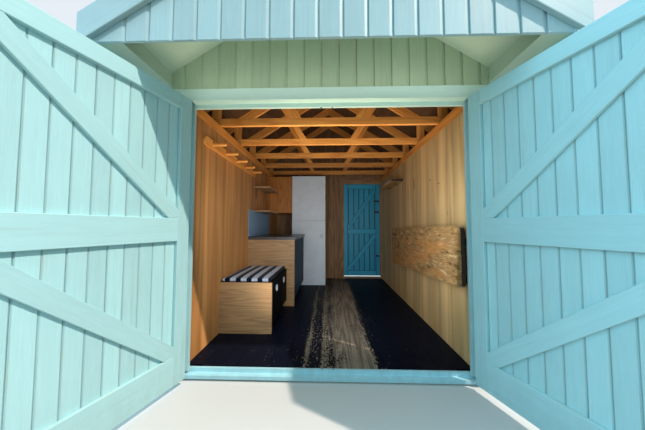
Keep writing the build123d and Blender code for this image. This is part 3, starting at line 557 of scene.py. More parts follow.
class Timber:
    """Gathers boards and bars into one mesh. Every point carries its place in its own
    board, the board's tone, and how near it is to an edge, where paint wears and where
    painted shade darkens the grooves."""

    def __init__(self, seed):
        self.random = random.Random(seed)
        self.points, self.faces = [], []
        self.grain, self.tone, self.edge = [], [], []

    def add(self, rings, place=HERE, across=None, closed=True):
        """Join rings of (a, b, c, edge) points. The grain runs along c, or along the
        direction in a and b that is square to across if the rings are flat plates."""
        offset = Vector([self.random.uniform(-40, 40) for _ in range(3)])
        tone = self.random.random()
        first, size = len(self.points), len(rings[0])
        for ring in rings:
            for a, b, c, edge in ring:
                world = place @ Vector((a, b, c))
                self.points.append((world.x, world.y - SET_BACK, world.z))
                local = Vector((a, b, c))
                if across is not None:
                    side = a * across[0] + b * across[1]
                    run = b * across[0] - a * across[1]
                    local = Vector((side, c, run))
                self.grain.append(local + offset)
                self.tone.append(tone)
                self.edge.append(edge)
        for level in range(len(rings) - 1):
            start = first + level * size
            for here in range(size):
                after = (here + 1) % size
                self.faces.append(
                    (start + here, start + after, start + size + after, start + size + here)
                )
        if closed:
            last = first + (len(rings) - 1) * size
            self.faces.append(tuple(reversed(range(first, first + size))))
            self.faces.append(tuple(range(last, last + size)))

    def board(self, outline, start, end, place, steps=1, bow=0.0):
        """A board whose section is an outline of (a, b) or (a, b, edge), grown along c.
        start and end are heights, or functions of a that give them."""
        low = start if callable(start) else (lambda a: start)
        high = end if callable(end) else (lambda a: end)
        phase = self.random.uniform(0, 6.28)
        rings = []
        for step in range(steps + 1):
            part = step / steps
            lean = bow * math.sin(phase + part * 5.0)
            ring = []
            for a, b, *edge in outline:
                c = low(a) + (high(a) - low(a)) * part
                ring.append((a + lean, b, c, edge[0] if edge else 1.0))
            rings.append(ring)
        self.add(rings, place)

    def plate(self, outline, thick, place, along, arris=0.0025):
        """A flat plate with a convex outline in a and b, and softened edges. along is the
        direction of its grain in a and b."""
        length = math.hypot(*along)
        across = (along[1] / length, -along[0] / length)
        inner, face = inset(outline, arris), inset(outline, arris + SOFT)
        levels = (
            (face, 0.0, 0.0), (inner, 0.0, 0.55), (outline, arris, 1.0),
            (outline, thick - arris, 1.0), (inner, thick, 0.55), (face, thick, 0.0),
        )
        self.add([[(a, b, c, edge) for a, b in shape] for shape, c, edge in levels], place, across)

    def block(self, low, high, along, arris=0.0025):
        """An upright block between two corners, with its grain along x, y or z."""
        width, depth, height = (high[i] - low[i] for i in range(3))
        if along == "y":
            place = across_x(*low)
            self.plate(rect(0, depth, 0, height), width, place, (1, 0), arris)
        else:
            place = across_y(low[0], high[1], low[2])
            grain = (0, 1) if along == "z" else (1, 0)
            self.plate(rect(0, width, 0, height), depth, place, grain, arris)

    def done(self, name, finish, slot, body="hut", replaced=()):
        """Make the object, dress it and let it ride on its body."""
        mesh = bpy.data.meshes.new(name)
        mesh.from_pydata(self.points, [], self.faces)
        mesh.validate()
        flat = [value for item in self.grain for value in item]
        mesh.attributes.new("grain", "FLOAT_VECTOR", "POINT").data.foreach_set("vector", flat)
        for key, values in (("tone", self.tone), ("edge", self.edge)):
            mesh.attributes.new(key, "FLOAT", "POINT").data.foreach_set("value", values)
        # Outward normals
        shape = bmesh.new()
        shape.from_mesh(mesh)
        bmesh.ops.recalc_face_normals(shape, faces=shape.faces)
        shape.to_mesh(mesh)
        shape.free()
        thing = bpy.data.objects.new(name, mesh)
        bpy.context.scene.collection.objects.link(thing)
        mesh.materials.append(material[finish])
        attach(thing, body)
        if replaced:
            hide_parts(*replaced)
        return thing


def discs(timber, spots, normal, levels, count):
    """Low ovals on a face. A spot is (point, width, height), and a level is the share of
    that size at some distance from the face."""
    up = UP if abs(normal.z) < 0.9 else Vector((0, 1, 0))
    across = up.cross(normal).normalized()
    up = normal.cross(across)
    for spot, width, height in spots:
        timber.add([
            circle(Vector(spot) + normal * lift, across * (width * size / 2),
                   up * (height * size / 2), count)
            for size, lift in levels
        ])


def heads(timber, spots, normal, radius=0.0042, rise=0.0009):
    """Low round nail or screw heads on a face, all in one mesh."""
    spots = [(spot, 2 * radius, 2 * radius) for spot in spots]
    discs(timber, spots, normal, ((1.0, -0.001), (1.0, rise * 0.4), (0.7, rise)), 8)


def scars(timber, spots, normal):
    """Thin dark lenses on a face: painted shade for the hollows of open knots, splits and empty
    bolt holes.
    """
    discs(timber, spots, normal, ((1.0, -0.001), (0.9, 0.0004)), 14)


def cove_outline(a0, a1, face, thick, cut_left, cut_right):
    """Section of a shiplap board: flat, with a scooped strip down its right edge."""
    scoop, deep, foot, ease, arris, gap, flat = 0.023, 0.0095, 0.003, 0.003, 0.0015, 0.0022, 0.02
    left = a0 + (0 if cut_left else gap)
    back = face - thick
    points = [(left, back, 0.0), (a1, back, 0.0)]
    if cut_right:
        points += [(a1, face, 0.4), (a1 - flat, face, 0.0)]
    else:
        points += [
            (a1, face - deep, 1.0), (a1 - foot, face - deep, 0.8),
            (a1 - foot - ease, face - deep + 0.0012, 0.3), (a1 - scoop, face - 0.0008, 0.0),
            (a1 - scoop - ease, face, 0.0), (a1 - scoop - flat, face, 0.0),
        ]
    points += [(left + flat, face, 0.0), (left + arris, face, 0.8), (left, face - arris, 1.0)]
    return points


def vee_outline(a0, a1, face, thick, cut_left, cut_right, vee=0.004):
    """Section of a matched board whose edges meet in a V on one face."""
    back, x0, x1 = face - thick, a0 + SLACK, a1 - SLACK
    l, r = (0.001 if cut_left else vee), (0.001 if cut_right else vee)
    return [
        (x0, back, 0.0), (x1, back, 0.0), (x1, face - r, 1.0), (x1 - r, face, 1.0),
        (x1 - r - SOFT, face, 0.0), (x0 + l + SOFT, face, 0.0), (x0 + l, face, 1.0),
        (x0, face - l, 1.0),
    ]


def sheet_outline(*section):
    """Section of a sheet of plywood with hardly softened edges."""
    return vee_outline(*section, vee=0.0012)


def matched_outline(a0, a1, back, face, vee):
    """Section of a matched board with a V on both faces."""
    x0, x1 = a0 + SLACK, a1 - SLACK
    row = [(x0 + vee, 1.0), (x0 + vee + SOFT, 0.0), (x1 - vee - SOFT, 0.0), (x1 - vee, 1.0)]
    return [
        *((a, back, edge) for a, edge in row), (x1, back + vee, 1.0), (x1, face - vee, 1.0),
        *((a, face, edge) for a, edge in row[::-1]), (x0, face - vee, 1.0), (x0, back + vee, 1.0),
    ]


def split_at_zero(outline):
    """The outline with a point where it crosses a = 0."""
    points = []
    for number, point in enumerate(outline):
        after = outline[(number + 1) % len(outline)]
        points.append(point)
        if min(point[0], after[0]) < -1e-6 and max(point[0], after[0]) > 1e-6:
            part = point[0] / (point[0] - after[0])
            points.append(tuple(p + (q - p) * part for p, q in zip(point, after)))
    return points


def cladding(timber, side, plane, runs, joints, profile, thick, bottom, top, ridge=False):
    """Boards over one or more runs (a0, a1) of a wall, cut at the joints."""
    narrowest, uneven = 0.060, 0.0003
    for a0, a1 in runs:
        cuts = [a0] + [j for j in joints if a0 + narrowest < j < a1 - narrowest] + [a1]
        for left, right in zip(cuts, cuts[1:]):
            drop = timber.random.uniform(-uneven, uneven)
            outline = profile(left, right, plane + drop, thick, left == a0, right == a1)
            if ridge and left < 0 < right:
                outline = split_at_zero(outline)
            timber.board(outline, bottom, top, facing(side), steps=4, bow=0.0003)


def dress(node, finish, width):
    """Give a kept CAD node its material and softened edges."""
    thing = frame["nodes"][node]
    for place in thing.material_slots:
        place.material = material[finish]
    weld = thing.modifiers.new("weld", "WELD")
    weld.merge_threshold = 0.00002
    bevel = thing.modifiers.new("arris", "BEVEL")
    bevel.width = width
    bevel.segments = 2
    bevel.limit_method = "ANGLE"
    bevel.angle_limit = math.radians(32)


# Gables

SHIPLAP, LINING, SHEET = 0.020, 0.016, 0.012
COVER, RECESS_COVER, LINING_COVER = 0.1463, 0.1379, 0.118
gable_joints = [-0.048 + COVER * k for k in range(-12, 13)]
recess_joints = [-0.046 + RECESS_COVER * k for k in range(-12, 13)]


def gable(node, seed, side, joints, profile, thick):
    """Boards over a gable, up to the roof boarding."""
    low, high = laid(node)
    boards = Timber(seed)
    plane = -low.y if side == "front" else high.y
    cladding(boards, side, plane, [(low.x, high.x)], joints, profile, thick, low.z, deck_under,
             ridge=True)
    return boards


low, high = laid("outer_gable_panel")
boards = gable("outer_gable_panel", 11, "front", gable_joints, cove_outline, high.y - low.y)
boards.done("gable_boards", "gable_paint", "gable_paint", replaced=["outer_gable_panel"])

boards = gable("front_gable_wall", 12, "front", recess_joints, cove_outline, SHIPLAP)
low, high = laid("front_gable_wall")
bearer_face, bearer_height = 0.021, 0.12
boards.board(rect(low.x, high.x, -high.y, -bearer_face), low.z, low.z + bearer_height,
             facing("front"))
boards.done("recess_boards", "sage_paint", "soffit_paint", replaced=["front_gable_wall"])

boards = gable("back_gable_wall", 13, "back", gable_joints, cove_outline, SHIPLAP)
boards.done("back_gable_boards", "gable_paint", "wall_boarding", replaced=["back_gable_wall"])
boards = gable("back_gable_wall", 14, "front", recess_joints, vee_outline, LINING)
boards.done("back_gable_lining", "dark_boards", "wall_boarding")

# Side and back walls: shiplap outside, a lining inside

CLEAR = 0.0005
first_joint, nail_inset = 0.02, 0.05
for word, side in (("left", -1), ("right", 1)):
    low, high = laid(f"{word}_wall")
    end = high.y - SHIPLAP - CLEAR
    start, end = (low.y, end) if side > 0 else (-end, -low.y)
    joints = [start + first_joint + COVER * k for k in range(1, 30)]
    boards = Timber(20 + side)
    cladding(boards, word, WALL_OUT, [(start, end)], joints, cove_outline, SHIPLAP, low.z, high.z)
    boards.done(f"{word}_wall_boards", "gable_paint", "wall_boarding", replaced=[f"{word}_wall"])

    nails = Timber(25 + side)
    cuts = [start] + [j for j in joints if j < end - 0.03] + [end]
    spots = [(side * WALL_OUT, side * ((a + b) / 2 + shift), z)
             for a, b in zip(cuts, cuts[1:]) for shift in (-0.035, 0.025)
             for z in (low.z + nail_inset, (low.z + high.z) / 2, high.z - nail_inset)]
    heads(nails, spots, Vector((side, 0, 0)), 0.0035)
    nails.done(f"{word}_wall_nails", "gable_paint", "wall_boarding")

    # The lining faces the other way: sheets of plywood between seams on the studs
    sheets = Timber(30 + side)
    inner = "right" if side < 0 else "left"
    run = (low.y, high.y) if side < 0 else (-high.y, -low.y)
    seams = [-side * y for y in (0.39, 1.57, 2.75)][::-side]
    cladding(sheets, inner, -HALF, [run], seams, sheet_outline, SHEET, low.z, high.z)
    sheets.done(f"{word}_lining", "warm_ply" if side < 0 else "ply", "wall_boarding")

corners, plates, friezes = Timber(35), Timber(36), Timber(37)
low, high = laid("wall_plates")
foot = laid("right_wall")[0]
for side in (-1, 1):
    near, far = sorted((side * (WALL_OUT - SHIPLAP), side * WALL_OUT))
    corners.block((near, high.y - SHIPLAP, foot.z), (far, BACK_OUT - SHIPLAP - CLEAR, high.z), "z")
    friezes.block((near, low.y, low.z), (far, high.y - SHIPLAP - CLEAR, high.z), "y")
    near, far = sorted((side * HALF, side * (WALL_OUT - SHIPLAP - CLEAR)))
    plates.block((near, low.y, low.z), (far, high.y - SHIPLAP - CLEAR, high.z), "y")
corners.done("corner_boards", "gable_paint", "gable_paint")
friezes.done("frieze_boards", "gable_paint", "wall_boarding")
plates.done("plate_bars", "pine", "pine", replaced=["wall_plates"])

low, high = laid("back_wall")
door_low, door_high = laid("rear_door_frame")
over_low, over_high = laid("back_wall_over_door")
boards = Timber(40)
for runs, z0, z1 in (
    ([(-high.x, -door_high.x), (-door_low.x, -low.x)], low.z, high.z),
    ([(-door_high.x, -door_low.x)], over_low.z, over_high.z),
):
    cladding(boards, "back", high.y, runs, gable_joints, cove_outline, SHIPLAP, z0, z1)
boards.done("back_wall_boards", "gable_paint", "wall_boarding",
            replaced=["back_wall", "back_wall_over_door"])
boards = Timber(41)
lining_joints = [-1.06 + LINING_COVER * k for k in range(20)]
for run, joints in (((low.x, door_low.x), lining_joints), ((door_high.x, high.x), [])):
    cladding(boards, "front", -low.y, [run], joints, vee_outline, LINING, low.z, high.z)
half = (over_high.z - over_low.z) / 2
for z in (over_low.z, over_low.z + half):
    boards.block((door_low.x, low.y, z), (door_high.x, low.y + LINING, z + half - 0.001), "x")
boards.done("back_lining", "dark_boards", "wall_boarding")

# CAD nodes that stay, with their finish

for finish, nodes in {
    "frame_up": ["front_posts"],
    "frame_over": ["door_head", "lintel_board"],
    "shade_tinted_sill_paint": ["door_sill"],
    "jamb": ["rear_door_frame"],
    "joists": ["rear_threshold", "floor_joists"],
    "soffit_flat": ["overhang_beams", "soffits"],
    "fascia": ["fascias"],
    "sleeper": ["floor_rim_beams"],
    "worktop": ["kitchen_worktop"],
    "iron": ["hinge_plates", "rear_door_hinges", "rear_door_latch", "left_door_hinges",
             "right_door_hinges", "left_door_bolts", "right_door_bolts", "shelf_brackets"],
}.items():
    for node in nodes:
        dress(node, finish, 0.0006 if finish == "iron" else 0.002)

# Door leaves

PIN_X, PIN_Y = 1.118, -0.008
# A leaf's edges from its pin, and its height
LEAF_START, LEAF_END, LEAF_LOW, LEAF_TOP = 0.003, 1.114, 0.054, 2.188
LEAF_THICK, LEAF_BOARD, LEAF_ARRIS = 0.044, 0.020, 0.003
STILE, TOP_RAIL, LOW_RAIL, BRACE = 0.097, 0.106, 0.207, 0.100
MID_RAIL = (1.085, 1.253)
# Each board has screws in pairs through the lower and the middle rail
SCREW_SPREAD, SCREW_INSET = 0.018, 0.035
LOW_SCREWS = (0.110, 0.210)


def leaf(side, word, angle, first_joint, cover):
    """One front door leaf, laid out closed and turned about its pin to where it stands."""
    spin = (Matrix.Translation((side * PIN_X, PIN_Y, 0))
            @ Matrix.Rotation(math.radians(side * angle), 4, "Z")
            @ Matrix.Translation((0, -PIN_Y, 0)))
    # Local a is the distance from the pin, b is up, c is towards the inside of the hut
    flat = spin @ Matrix(((-side, 0, 0, 0), (0, 0, 1, 0), (0, 1, 0, 0), (0, 0, 0, 1)))
    inside = flat @ Matrix.Translation((0, 0, LEAF_BOARD))
    stood = flat @ Matrix(((1, 0, 0, 0), (0, 0, 1, 0), (0, 1, 0, 0), (0, 0, 0, 1)))
    s0, s1 = LEAF_START + STILE, LEAF_END - STILE
    rail_top, rail_low = LEAF_TOP - TOP_RAIL, LEAF_LOW + LOW_RAIL
    mid0, mid1 = MID_RAIL

    def done(timber, part, finish="door_paint", replaces=True):
        nodes = [f"{word}_door_{part}"] if replaces else []
        timber.done(f"{word}_{part}", finish, "door_paint", f"{word}_door", nodes)

    pieces = Timber(60 + side)
    for a0, a1 in ((LEAF_START, s0), (s1, LEAF_END)):
        pieces.plate(rect(a0, a1, LEAF_LOW, LEAF_TOP), LEAF_THICK, flat, (0, 1), LEAF_ARRIS)
    done(pieces, "stiles")

    pieces = Timber(70 + side)
    pieces.plate(rect(s0, s1, rail_top, LEAF_TOP), LEAF_THICK, flat, (1, 0), LEAF_ARRIS)
    depth = LEAF_THICK - LEAF_BOARD
    for z0, z1 in ((mid0, mid1), (LEAF_LOW, rail_low)):
        pieces.plate(rect(s0, s1, z0, z1), depth, inside, (1, 0), LEAF_ARRIS)
    done(pieces, "rails")

    pieces = Timber(80 + side)
    for z0, z1 in ((mid1, rail_top), (rail_low, mid0)):
        outline = brace_outline(s0, s1, z0, z1, BRACE)
        pieces.plate(outline, depth, inside, (s1 - s0, z1 - z0), LEAF_ARRIS)
    done(pieces, "braces")

    # Matched boards between the stiles, with a V on both faces
    screws = []
    pieces = Timber(90 + side)
    joints = [first_joint + cover * k for k in range(11)]
    cuts = [s0] + [j for j in joints if s0 + 0.02 < j < s1 - 0.02] + [s1]
    for a0, a1 in zip(cuts, cuts[1:]):
        outline = matched_outline(a0, a1, 0.0, LEAF_BOARD, 0.0042)
        pieces.board(outline, LEAF_LOW, rail_top, stood, steps=6, bow=0.0003)
        for shift in (-SCREW_SPREAD, SCREW_SPREAD):
            for z in (*LOW_SCREWS, mid0 + SCREW_INSET, mid1 - SCREW_INSET):
                screws.append(flat @ Vector(((a0 + a1) / 2 + shift, z, 0.0)))
    done(pieces, "boards", "leaf_boards")
    pieces = Timber(95 + side)
    heads(pieces, screws, (flat.to_3x3() @ Vector((0, 0, -1))).normalized())
    done(pieces, "screws", replaces=False)


leaf(-1, "left", 106.7, 0.177, 0.0865)
leaf(1, "right", 108.3, 0.165, 0.0874)

# Rear door

low, high = laid("rear_door_boards")
boards = Timber(100)
cuts = [low.x + (high.x - low.x) / 7 * k for k in range(8)]
for x0, x1 in zip(cuts, cuts[1:]):
    outline = matched_outline(-x1, -x0, low.y, high.y, 0.004)
    boards.board(outline, low.z, high.z, facing("back"), steps=3, bow=0.0002)
boards.done("rear_boards", "teal_paint", "teal_paint", "rear_door", ["rear_door_boards"])

low, high = laid("rear_door_framing")
bars = Timber(101)
stile, rail, brace = 0.090, 0.110, 0.085
inner0, inner1 = low.x + stile, high.x - stile
mid = low.z + 0.900
for x0, x1 in ((low.x, inner0), (inner1, high.x)):
    bars.block((x0, low.y, low.z), (x1, high.y, high.z), "z")
for z in (low.z, mid, high.z - rail):
    bars.block((inner0, low.y, z), (inner1, high.y, z + rail), "x")
for z0, z1 in ((mid + rail, high.z - rail), (low.z + rail, mid)):
    outline = brace_outline(inner0, inner1, z0, z1, brace)
    bars.plate(outline, high.y - low.y, across_y(0, high.y, 0), (inner1 - inner0, z1 - z0))
bars.done("rear_framing", "teal_paint", "teal_paint", "rear_door", ["rear_door_framing"])

# Floor

low, high = laid("floor_boards")
boards = Timber(110)
count, gap, post_back = 17, 0.0008, 0.120
pitch = (high.x - low.x) / count
for k in range(count):
    x0, x1 = low.x + k * pitch + gap, low.x + (k + 1) * pitch - gap
    top = high.z - boards.random.uniform(0, 0.0006)
    start = post_back if k in (0, count - 1) else low.y
    boards.block((x0, start, low.z), (x1, high.y, top), "y", 0.0015)
boards.done("floor_planks", "floor", "black_floor", replaced=["floor_boards"])

# Roof: boarding under felt

ROOF_COVER, ROOF_BOARD, ROOF_VEE, FELT = 0.118, 0.018, 0.004, 0.0055
LAP, LAP_LIFT, CLOUT_INSET, CLOUT_PITCH = 0.06, 0.0025, 0.03, 0.1
for word, side in (("left", -1), ("right", 1)):
    low, high = laid(f"{word}_roof_slope")
    run = high.x - low.x
    slope = run / COS
    # a is up the slope from the eaves, b the thickness with plumb edges, c along the hut
    eaves = Vector((side * run, 0, RIDGE - TAN * run - DECK_DROP))
    place = Matrix.Translation(eaves) @ Matrix(
        ((-side * COS, 0, 0, 0), (0, 0, 1, 0), (SIN, 1 / COS, 0, 0), (0, 0, 0, 1))
    )
    boards = Timber(120 + side)
    cuts = [ROOF_COVER * k for k in range(int(slope / ROOF_COVER) + 1)] + [slope]
    for a0, a1 in zip(cuts, cuts[1:]):
        if a1 - a0 < 0.01:
            continue
        x0, x1 = a0 + SLACK, a1 - SLACK
        outline = [(x0 + ROOF_VEE, 0, 1.0), (x1 - ROOF_VEE, 0, 1.0), (x1, ROOF_VEE, 1.0),
                   (x1, ROOF_BOARD, 0.0), (x0, ROOF_BOARD, 0.0), (x0, ROOF_VEE, 1.0)]
        boards.board(outline, low.y + 0.002, high.y - 0.002, place)
    boards.done(f"{word}_roof_boards", "roof_boards", "roofing", replaced=[f"{word}_roof_slope"])

    # Each sheet of felt but the lowest laps over the one below it
    sheets = Timber(130 + side)
    laps = [0.0, 0.60, 1.18, slope]
    for number, (a0, a1) in enumerate(zip(laps, laps[1:])):
        lift = ROOF_BOARD + CLEAR + (LAP_LIFT if number else 0.0)
        start = a0 - (LAP if number else 0)
        tuck = 0.0015 if number < 2 else 0
        outline = [(start, lift), (a1, lift - tuck), (a1, lift + FELT),
                   (start, lift + FELT + 0.001)]
        sheets.board(outline, low.y, high.y, place, steps=10)
    sheets.done(f"{word}_felt", "felt", "roofing")

    clouts = Timber(135 + side)
    rows = ((CLOUT_INSET, 0.0245), (laps[1] - CLOUT_INSET, 0.0275), (laps[2] - CLOUT_INSET, 0.0275))
    spots = [place @ Vector((a, b, low.y + CLOUT_PITCH / 2 + CLOUT_PITCH * k))
             for a, b in rows for k in range(int((high.y - low.y) / CLOUT_PITCH))]
    heads(clouts, spots, Vector((side * SIN, 0, COS)), 0.006, 0.0012)
    clouts.done(f"{word}_clouts", "steel", "ironwork")

dress("ridge_cap", "felt", 0.001)

# Bargeboards, which meet in a plumb joint under the ridge

JOINT = 0.0003
barges = Timber(140)
low, high = laid("bargeboards")
thick, top, foot = 0.030, RIDGE + 0.008, RIDGE - 0.186
for side in (-1, 1):
    for y0 in (low.y, high.y - thick):
        far, fall = high.x, TAN * high.x
        outline = [(JOINT, foot), (far, foot - fall), (far, top - fall), (JOINT, top)]
        barges.plate(mirrored(side, outline), thick, across_y(0, y0 + thick, 0),
                     (COS, -side * SIN), 0.0035)
barges.done("barge_boards", "gable_paint", "gable_paint", replaced=["bargeboards"])

# Trusses

trusses = [0.640 + 0.600 * k for k in range(5)]
thick = 0.038
tie_low, tie_high = laid("ceiling_ties")
tie_top = tie_high.z
ties = Timber(150)
for y in trusses:
    ties.block((tie_low.x, y - thick / 2, tie_low.z), (tie_high.x, y + thick / 2, tie_top), "x")
ties.done("tie_beams", "pine", "pine", replaced=["ceiling_ties"])

rafters = Timber(151)
webs = Timber(152)
web0, web1 = 0.285, 0.285 + 0.072 / COS
heel0, heel1 = 1.240 - 0.090, 1.240
for side in (-1, 1):
    for y in [ROOF_FRONT + 0.019 + thick / 2] + trusses:
        place = across_y(0, y + thick / 2, 0)
        far = tie_high.x
        outline = [(JOINT, rafter_under(JOINT)), (far, rafter_under(far)), (far, deck_under(far)),
                   (JOINT, deck_under(JOINT))]
        rafters.plate(mirrored(side, outline), thick, place, (COS, -side * SIN))
        if y < 0:
            continue
        # A web stands square to the rafter, and an upright over the heel
        reach0, reach1 = ((rafter_under(x) - tie_top) / (1 / TAN + TAN) for x in (web0, web1))
        outline = [(web0, tie_top), (web1, tie_top), (web1 + reach1, tie_top + reach1 / TAN),
                   (web0 + reach0, tie_top + reach0 / TAN)]
        webs.plate(mirrored(side, outline), thick, place, (side * SIN, COS))
        outline = [(heel0, tie_top), (heel1, tie_top), (heel1, rafter_under(heel1)),
                   (heel0, rafter_under(heel0))]
        webs.plate(mirrored(side, outline), thick, place, (0, 1))
rafters.done("rafter_bars", "pine", "pine", replaced=["rafters"])
webs.done("web_bars", "pine", "pine", replaced=["truss_webs"])

# Furniture

bench_low, bench_high = laid("bench_box")
unit_low, unit_high = laid("kitchen_unit")
END, FRONT, REVEAL = 0.022, 0.018, 0.002


def case(timber, low, high, front, plinth, toe, back):
    """A cupboard's body on a plinth that stands back under its front."""
    timber.block((low.x, back, low.z), (front - toe, high.y, low.z + plinth), "y")
    timber.block((low.x, back, low.z + plinth), (front, high.y, high.z), "y")


ends = Timber(160)
ends.block(*laid("bench_end_panel"), "x", 0.0015)
ends.block(unit_low, (unit_high.x, unit_low.y + END, unit_high.z), "x", 0.0015)
ends.done("oak_ends", "oak", "oak", replaced=["bench_end_panel"])

fronts = Timber(161)
plinth, front = 0.09, bench_high.x - FRONT
case(fronts, bench_low, bench_high, front, plinth, 0.03, bench_low.y)
half, joint = (bench_low.y + bench_high.y) / 2, 0.0015
for y0, y1 in ((bench_low.y + REVEAL, half - joint), (half + joint, bench_high.y - REVEAL)):
    fronts.block((front, y0, bench_low.z + plinth + REVEAL),
                 (bench_high.x, y1, bench_high.z - REVEAL), "y")
fronts.done("bench_case", "black", "black_front", replaced=["bench_box"])

fronts = Timber(162)
plinth, front = 0.10, unit_high.x - 0.019
start = unit_low.y + END
case(fronts, unit_low, unit_high, front, plinth, 0.04, start)
third = (unit_high.y - start) / 3
for k in range(3):
    fronts.block((front, start + k * third + joint, unit_low.z + plinth + REVEAL),
                 (unit_high.x, start + (k + 1) * third - joint, unit_high.z - 2 * REVEAL), "z")
fronts.done("kitchen_case", "navy", "oak", replaced=["kitchen_unit"])

low, high = laid("tall_cupboard")
fronts = Timber(163)
plinth, upper_door, gap = 0.06, 1.303, 0.003
fronts.block((low.x, low.y + FRONT, low.z), high, "z")
for z0, z1 in ((low.z + plinth, upper_door - gap), (upper_door, high.z - gap)):
    fronts.block((low.x + REVEAL, low.y, z0), (high.x - REVEAL, low.y + FRONT, z1), "z")
fronts.done("tall_case", "white", "white_paint", replaced=["tall_cupboard"])


def ring_pull(timber, centre, normal, radius, wire=0.0045):
    """A pull: a round bar bent to a ring that lies square to the normal."""
    across = UP.cross(normal).normalized()
    rings = []
    for number in range(28):
        turn = number / 28 * 2 * math.pi
        out = across * math.cos(turn) * radius + UP * math.sin(turn) * radius
        rings.append(circle(centre + out, out.normalized() * wire, normal * wire, 8))
    timber.add(rings + rings[:1], closed=False)


proud = 0.005
pulls = Timber(166)
for y in (0.887, 1.300):
    ring_pull(pulls, Vector((bench_high.x + proud, y, 0.500)), Vector((1, 0, 0)), 0.032)
pulls.done("bench_rings", "white", "white_paint")
pulls = Timber(168)
ring_pull(pulls, Vector((-0.136, unit_high.y - proud, 1.011)), Vector((0, -1, 0)), 0.027)
pulls.done("cupboard_ring", "steel", "ironwork")

panel = Timber(167)
foot, top, thick = 1.046, 1.432, 0.006
panel.block((-HALF, unit_low.y, foot), (-HALF + thick, unit_high.y, top), "y", 0.001)
panel.done("splashback", "splash", "worktop")

low, high = laid("wall_cupboard")
fronts, filler = Timber(164), 0.06
fronts.block((low.x, low.y + FRONT, low.z), high, "z")
fronts.block((low.x + REVEAL, low.y, low.z + REVEAL),
             (high.x - filler, low.y + FRONT, high.z - gap), "z")
fronts.done("wall_case", "orange_oak", "oak", replaced=["wall_cupboard"])

low, high = laid("wall_shelves")
shelves, thick = Timber(165), 0.025
for z in (low.z, high.z - thick):
    shelves.block((low.x, low.y, z), (high.x, high.y, z + thick), "y", 0.0015)
shelves.done("shelf_boards", "oak", "oak", replaced=["wall_shelves"])

# Things on the walls

low, high = laid("side_board")
planks = Timber(170)
# The board falls a little towards its far end, and is wider there
near_low, near_high, far_low, far_high = 0.700, 1.205, 0.605, 1.160
thick, seam, batten, inset_y = 0.037, 0.0001, 0.060, 0.060
cuts = [0.0, 0.27, 0.52, 0.76, 1.0]
for number, (part0, part1) in enumerate(zip(cuts, cuts[1:])):
    shy = planks.random.uniform(0, 0.0008)
    y0 = low.y + planks.random.uniform(0, 0.005)
    y1 = high.y - planks.random.uniform(0, 0.02)
    near_height, far_height = near_high - near_low, far_high - far_low
    points = [
        (y0, near_low + near_height * part0 + seam),
        (y1, far_low + far_height * part0 + seam),
        (y1, far_low + far_height * part1 - seam),
        (y0, near_low + near_height * part1 - seam),
    ]
    outline = []
    for which, point in enumerate(points):
        outer = (number == 0 and which < 2) or (number == 3 and which > 1)
        radius = 0.055 if outer else 0
        outline += rounded(points[which - 1], point, points[(which + 1) % 4], radius)
    planks.plate(outline, thick - shy, across_x(low.x + shy, 0, 0), (1, 0), 0.0006)
for z in (near_low + 0.030, far_high - 0.120):
    planks.block((low.x + thick + 0.001, low.y + inset_y, z),
                 (high.x, high.y - inset_y, z + batten), "y")
planks.done("rough_planks", "rough", "rough_timber", replaced=["side_board"])

low, high = laid("rough_shelf")
planks = Timber(171)
outline = [(low.x + 0.012, low.y), (high.x, low.y), (high.x, high.y), (low.x + 0.03, high.y),
           (low.x, (low.y + high.y) / 2)]
planks.plate(outline, high.z - low.z, Matrix.Translation((0, 0, low.z)), (0, 1), 0.004)
planks.done("rough_shelf_board", "rough", "rough_timber", replaced=["rough_shelf"])

low, high = laid("peg_rail")
pegs = Timber(172)
middle, radius = (low.z + high.z) / 2, (high.z - low.z) / 2
first_peg, peg_pitch = 0.160, 0.300
# Distance from the wall and radius, from a peg's root to its rounded tip
peg = ((0.0195, 0.017), (0.142, 0.0168), (0.148, 0.0145), (0.150, 0.010))
outline = []
for centre, start in ((high.y - radius, -90), (low.y + radius, 90)):
    for step in range(13):
        turn = math.radians(start + step * 15)
        outline.append((centre + radius * math.cos(turn), middle + radius * math.sin(turn)))
place = across_x(low.x, 0, 0)
pegs.plate(outline, 0.020, place, (1, 0), 0.003)
for k in range(5):
    y = low.y + first_peg + peg_pitch * k
    pegs.add([circle(Vector((y, middle, x)), Vector((r, 0, 0)), Vector((0, r, 0)), 20)
              for x, r in peg], place)
pegs.done("pegs", "pine", "pine", replaced=["peg_rail"])

lining, head, sill = laid("right_wall")[0].x, laid("door_head")[0].z, laid("door_sill")[1].z
# Painted shade in the open knots and splits of the right lining
marks = Timber(173)
scars(marks, [((lining, y, z), width, height) for y, z, width, height in (
    (1.350, 1.760, 0.022, 0.190), (0.845, 1.715, 0.050, 0.014),
    (1.900, 0.560, 0.016, 0.110), (0.640, 1.640, 0.040, 0.012),
)], Vector((-1, 0, 0)))
marks.done("wall_knots", "roof_boards", "wall_boarding")
# Painted shade in the empty bolt holes of the sill and the head
marks = Timber(174)
scars(marks, [((-0.043, 0.082, sill), 0.015, 0.014), ((0.044, 0.080, sill), 0.013, 0.012)], UP)
scars(marks, [((-0.054, 0.062, head), 0.020, 0.018), ((0.038, 0.060, head), 0.016, 0.016)], -UP)
marks.done("bolt_holes", "roof_boards", "frame_paint")


# Cushion

def bake(thing):
    """Apply an object's modifiers to its mesh."""
    graph = bpy.context.evaluated_depsgraph_get()
    made = bpy.data.meshes.new_from_object(thing.evaluated_get(graph))
    thing.modifiers.clear()
    thing.data = made


def smooth(thing):
    for face in thing.data.polygons:
        face.use_smooth = True


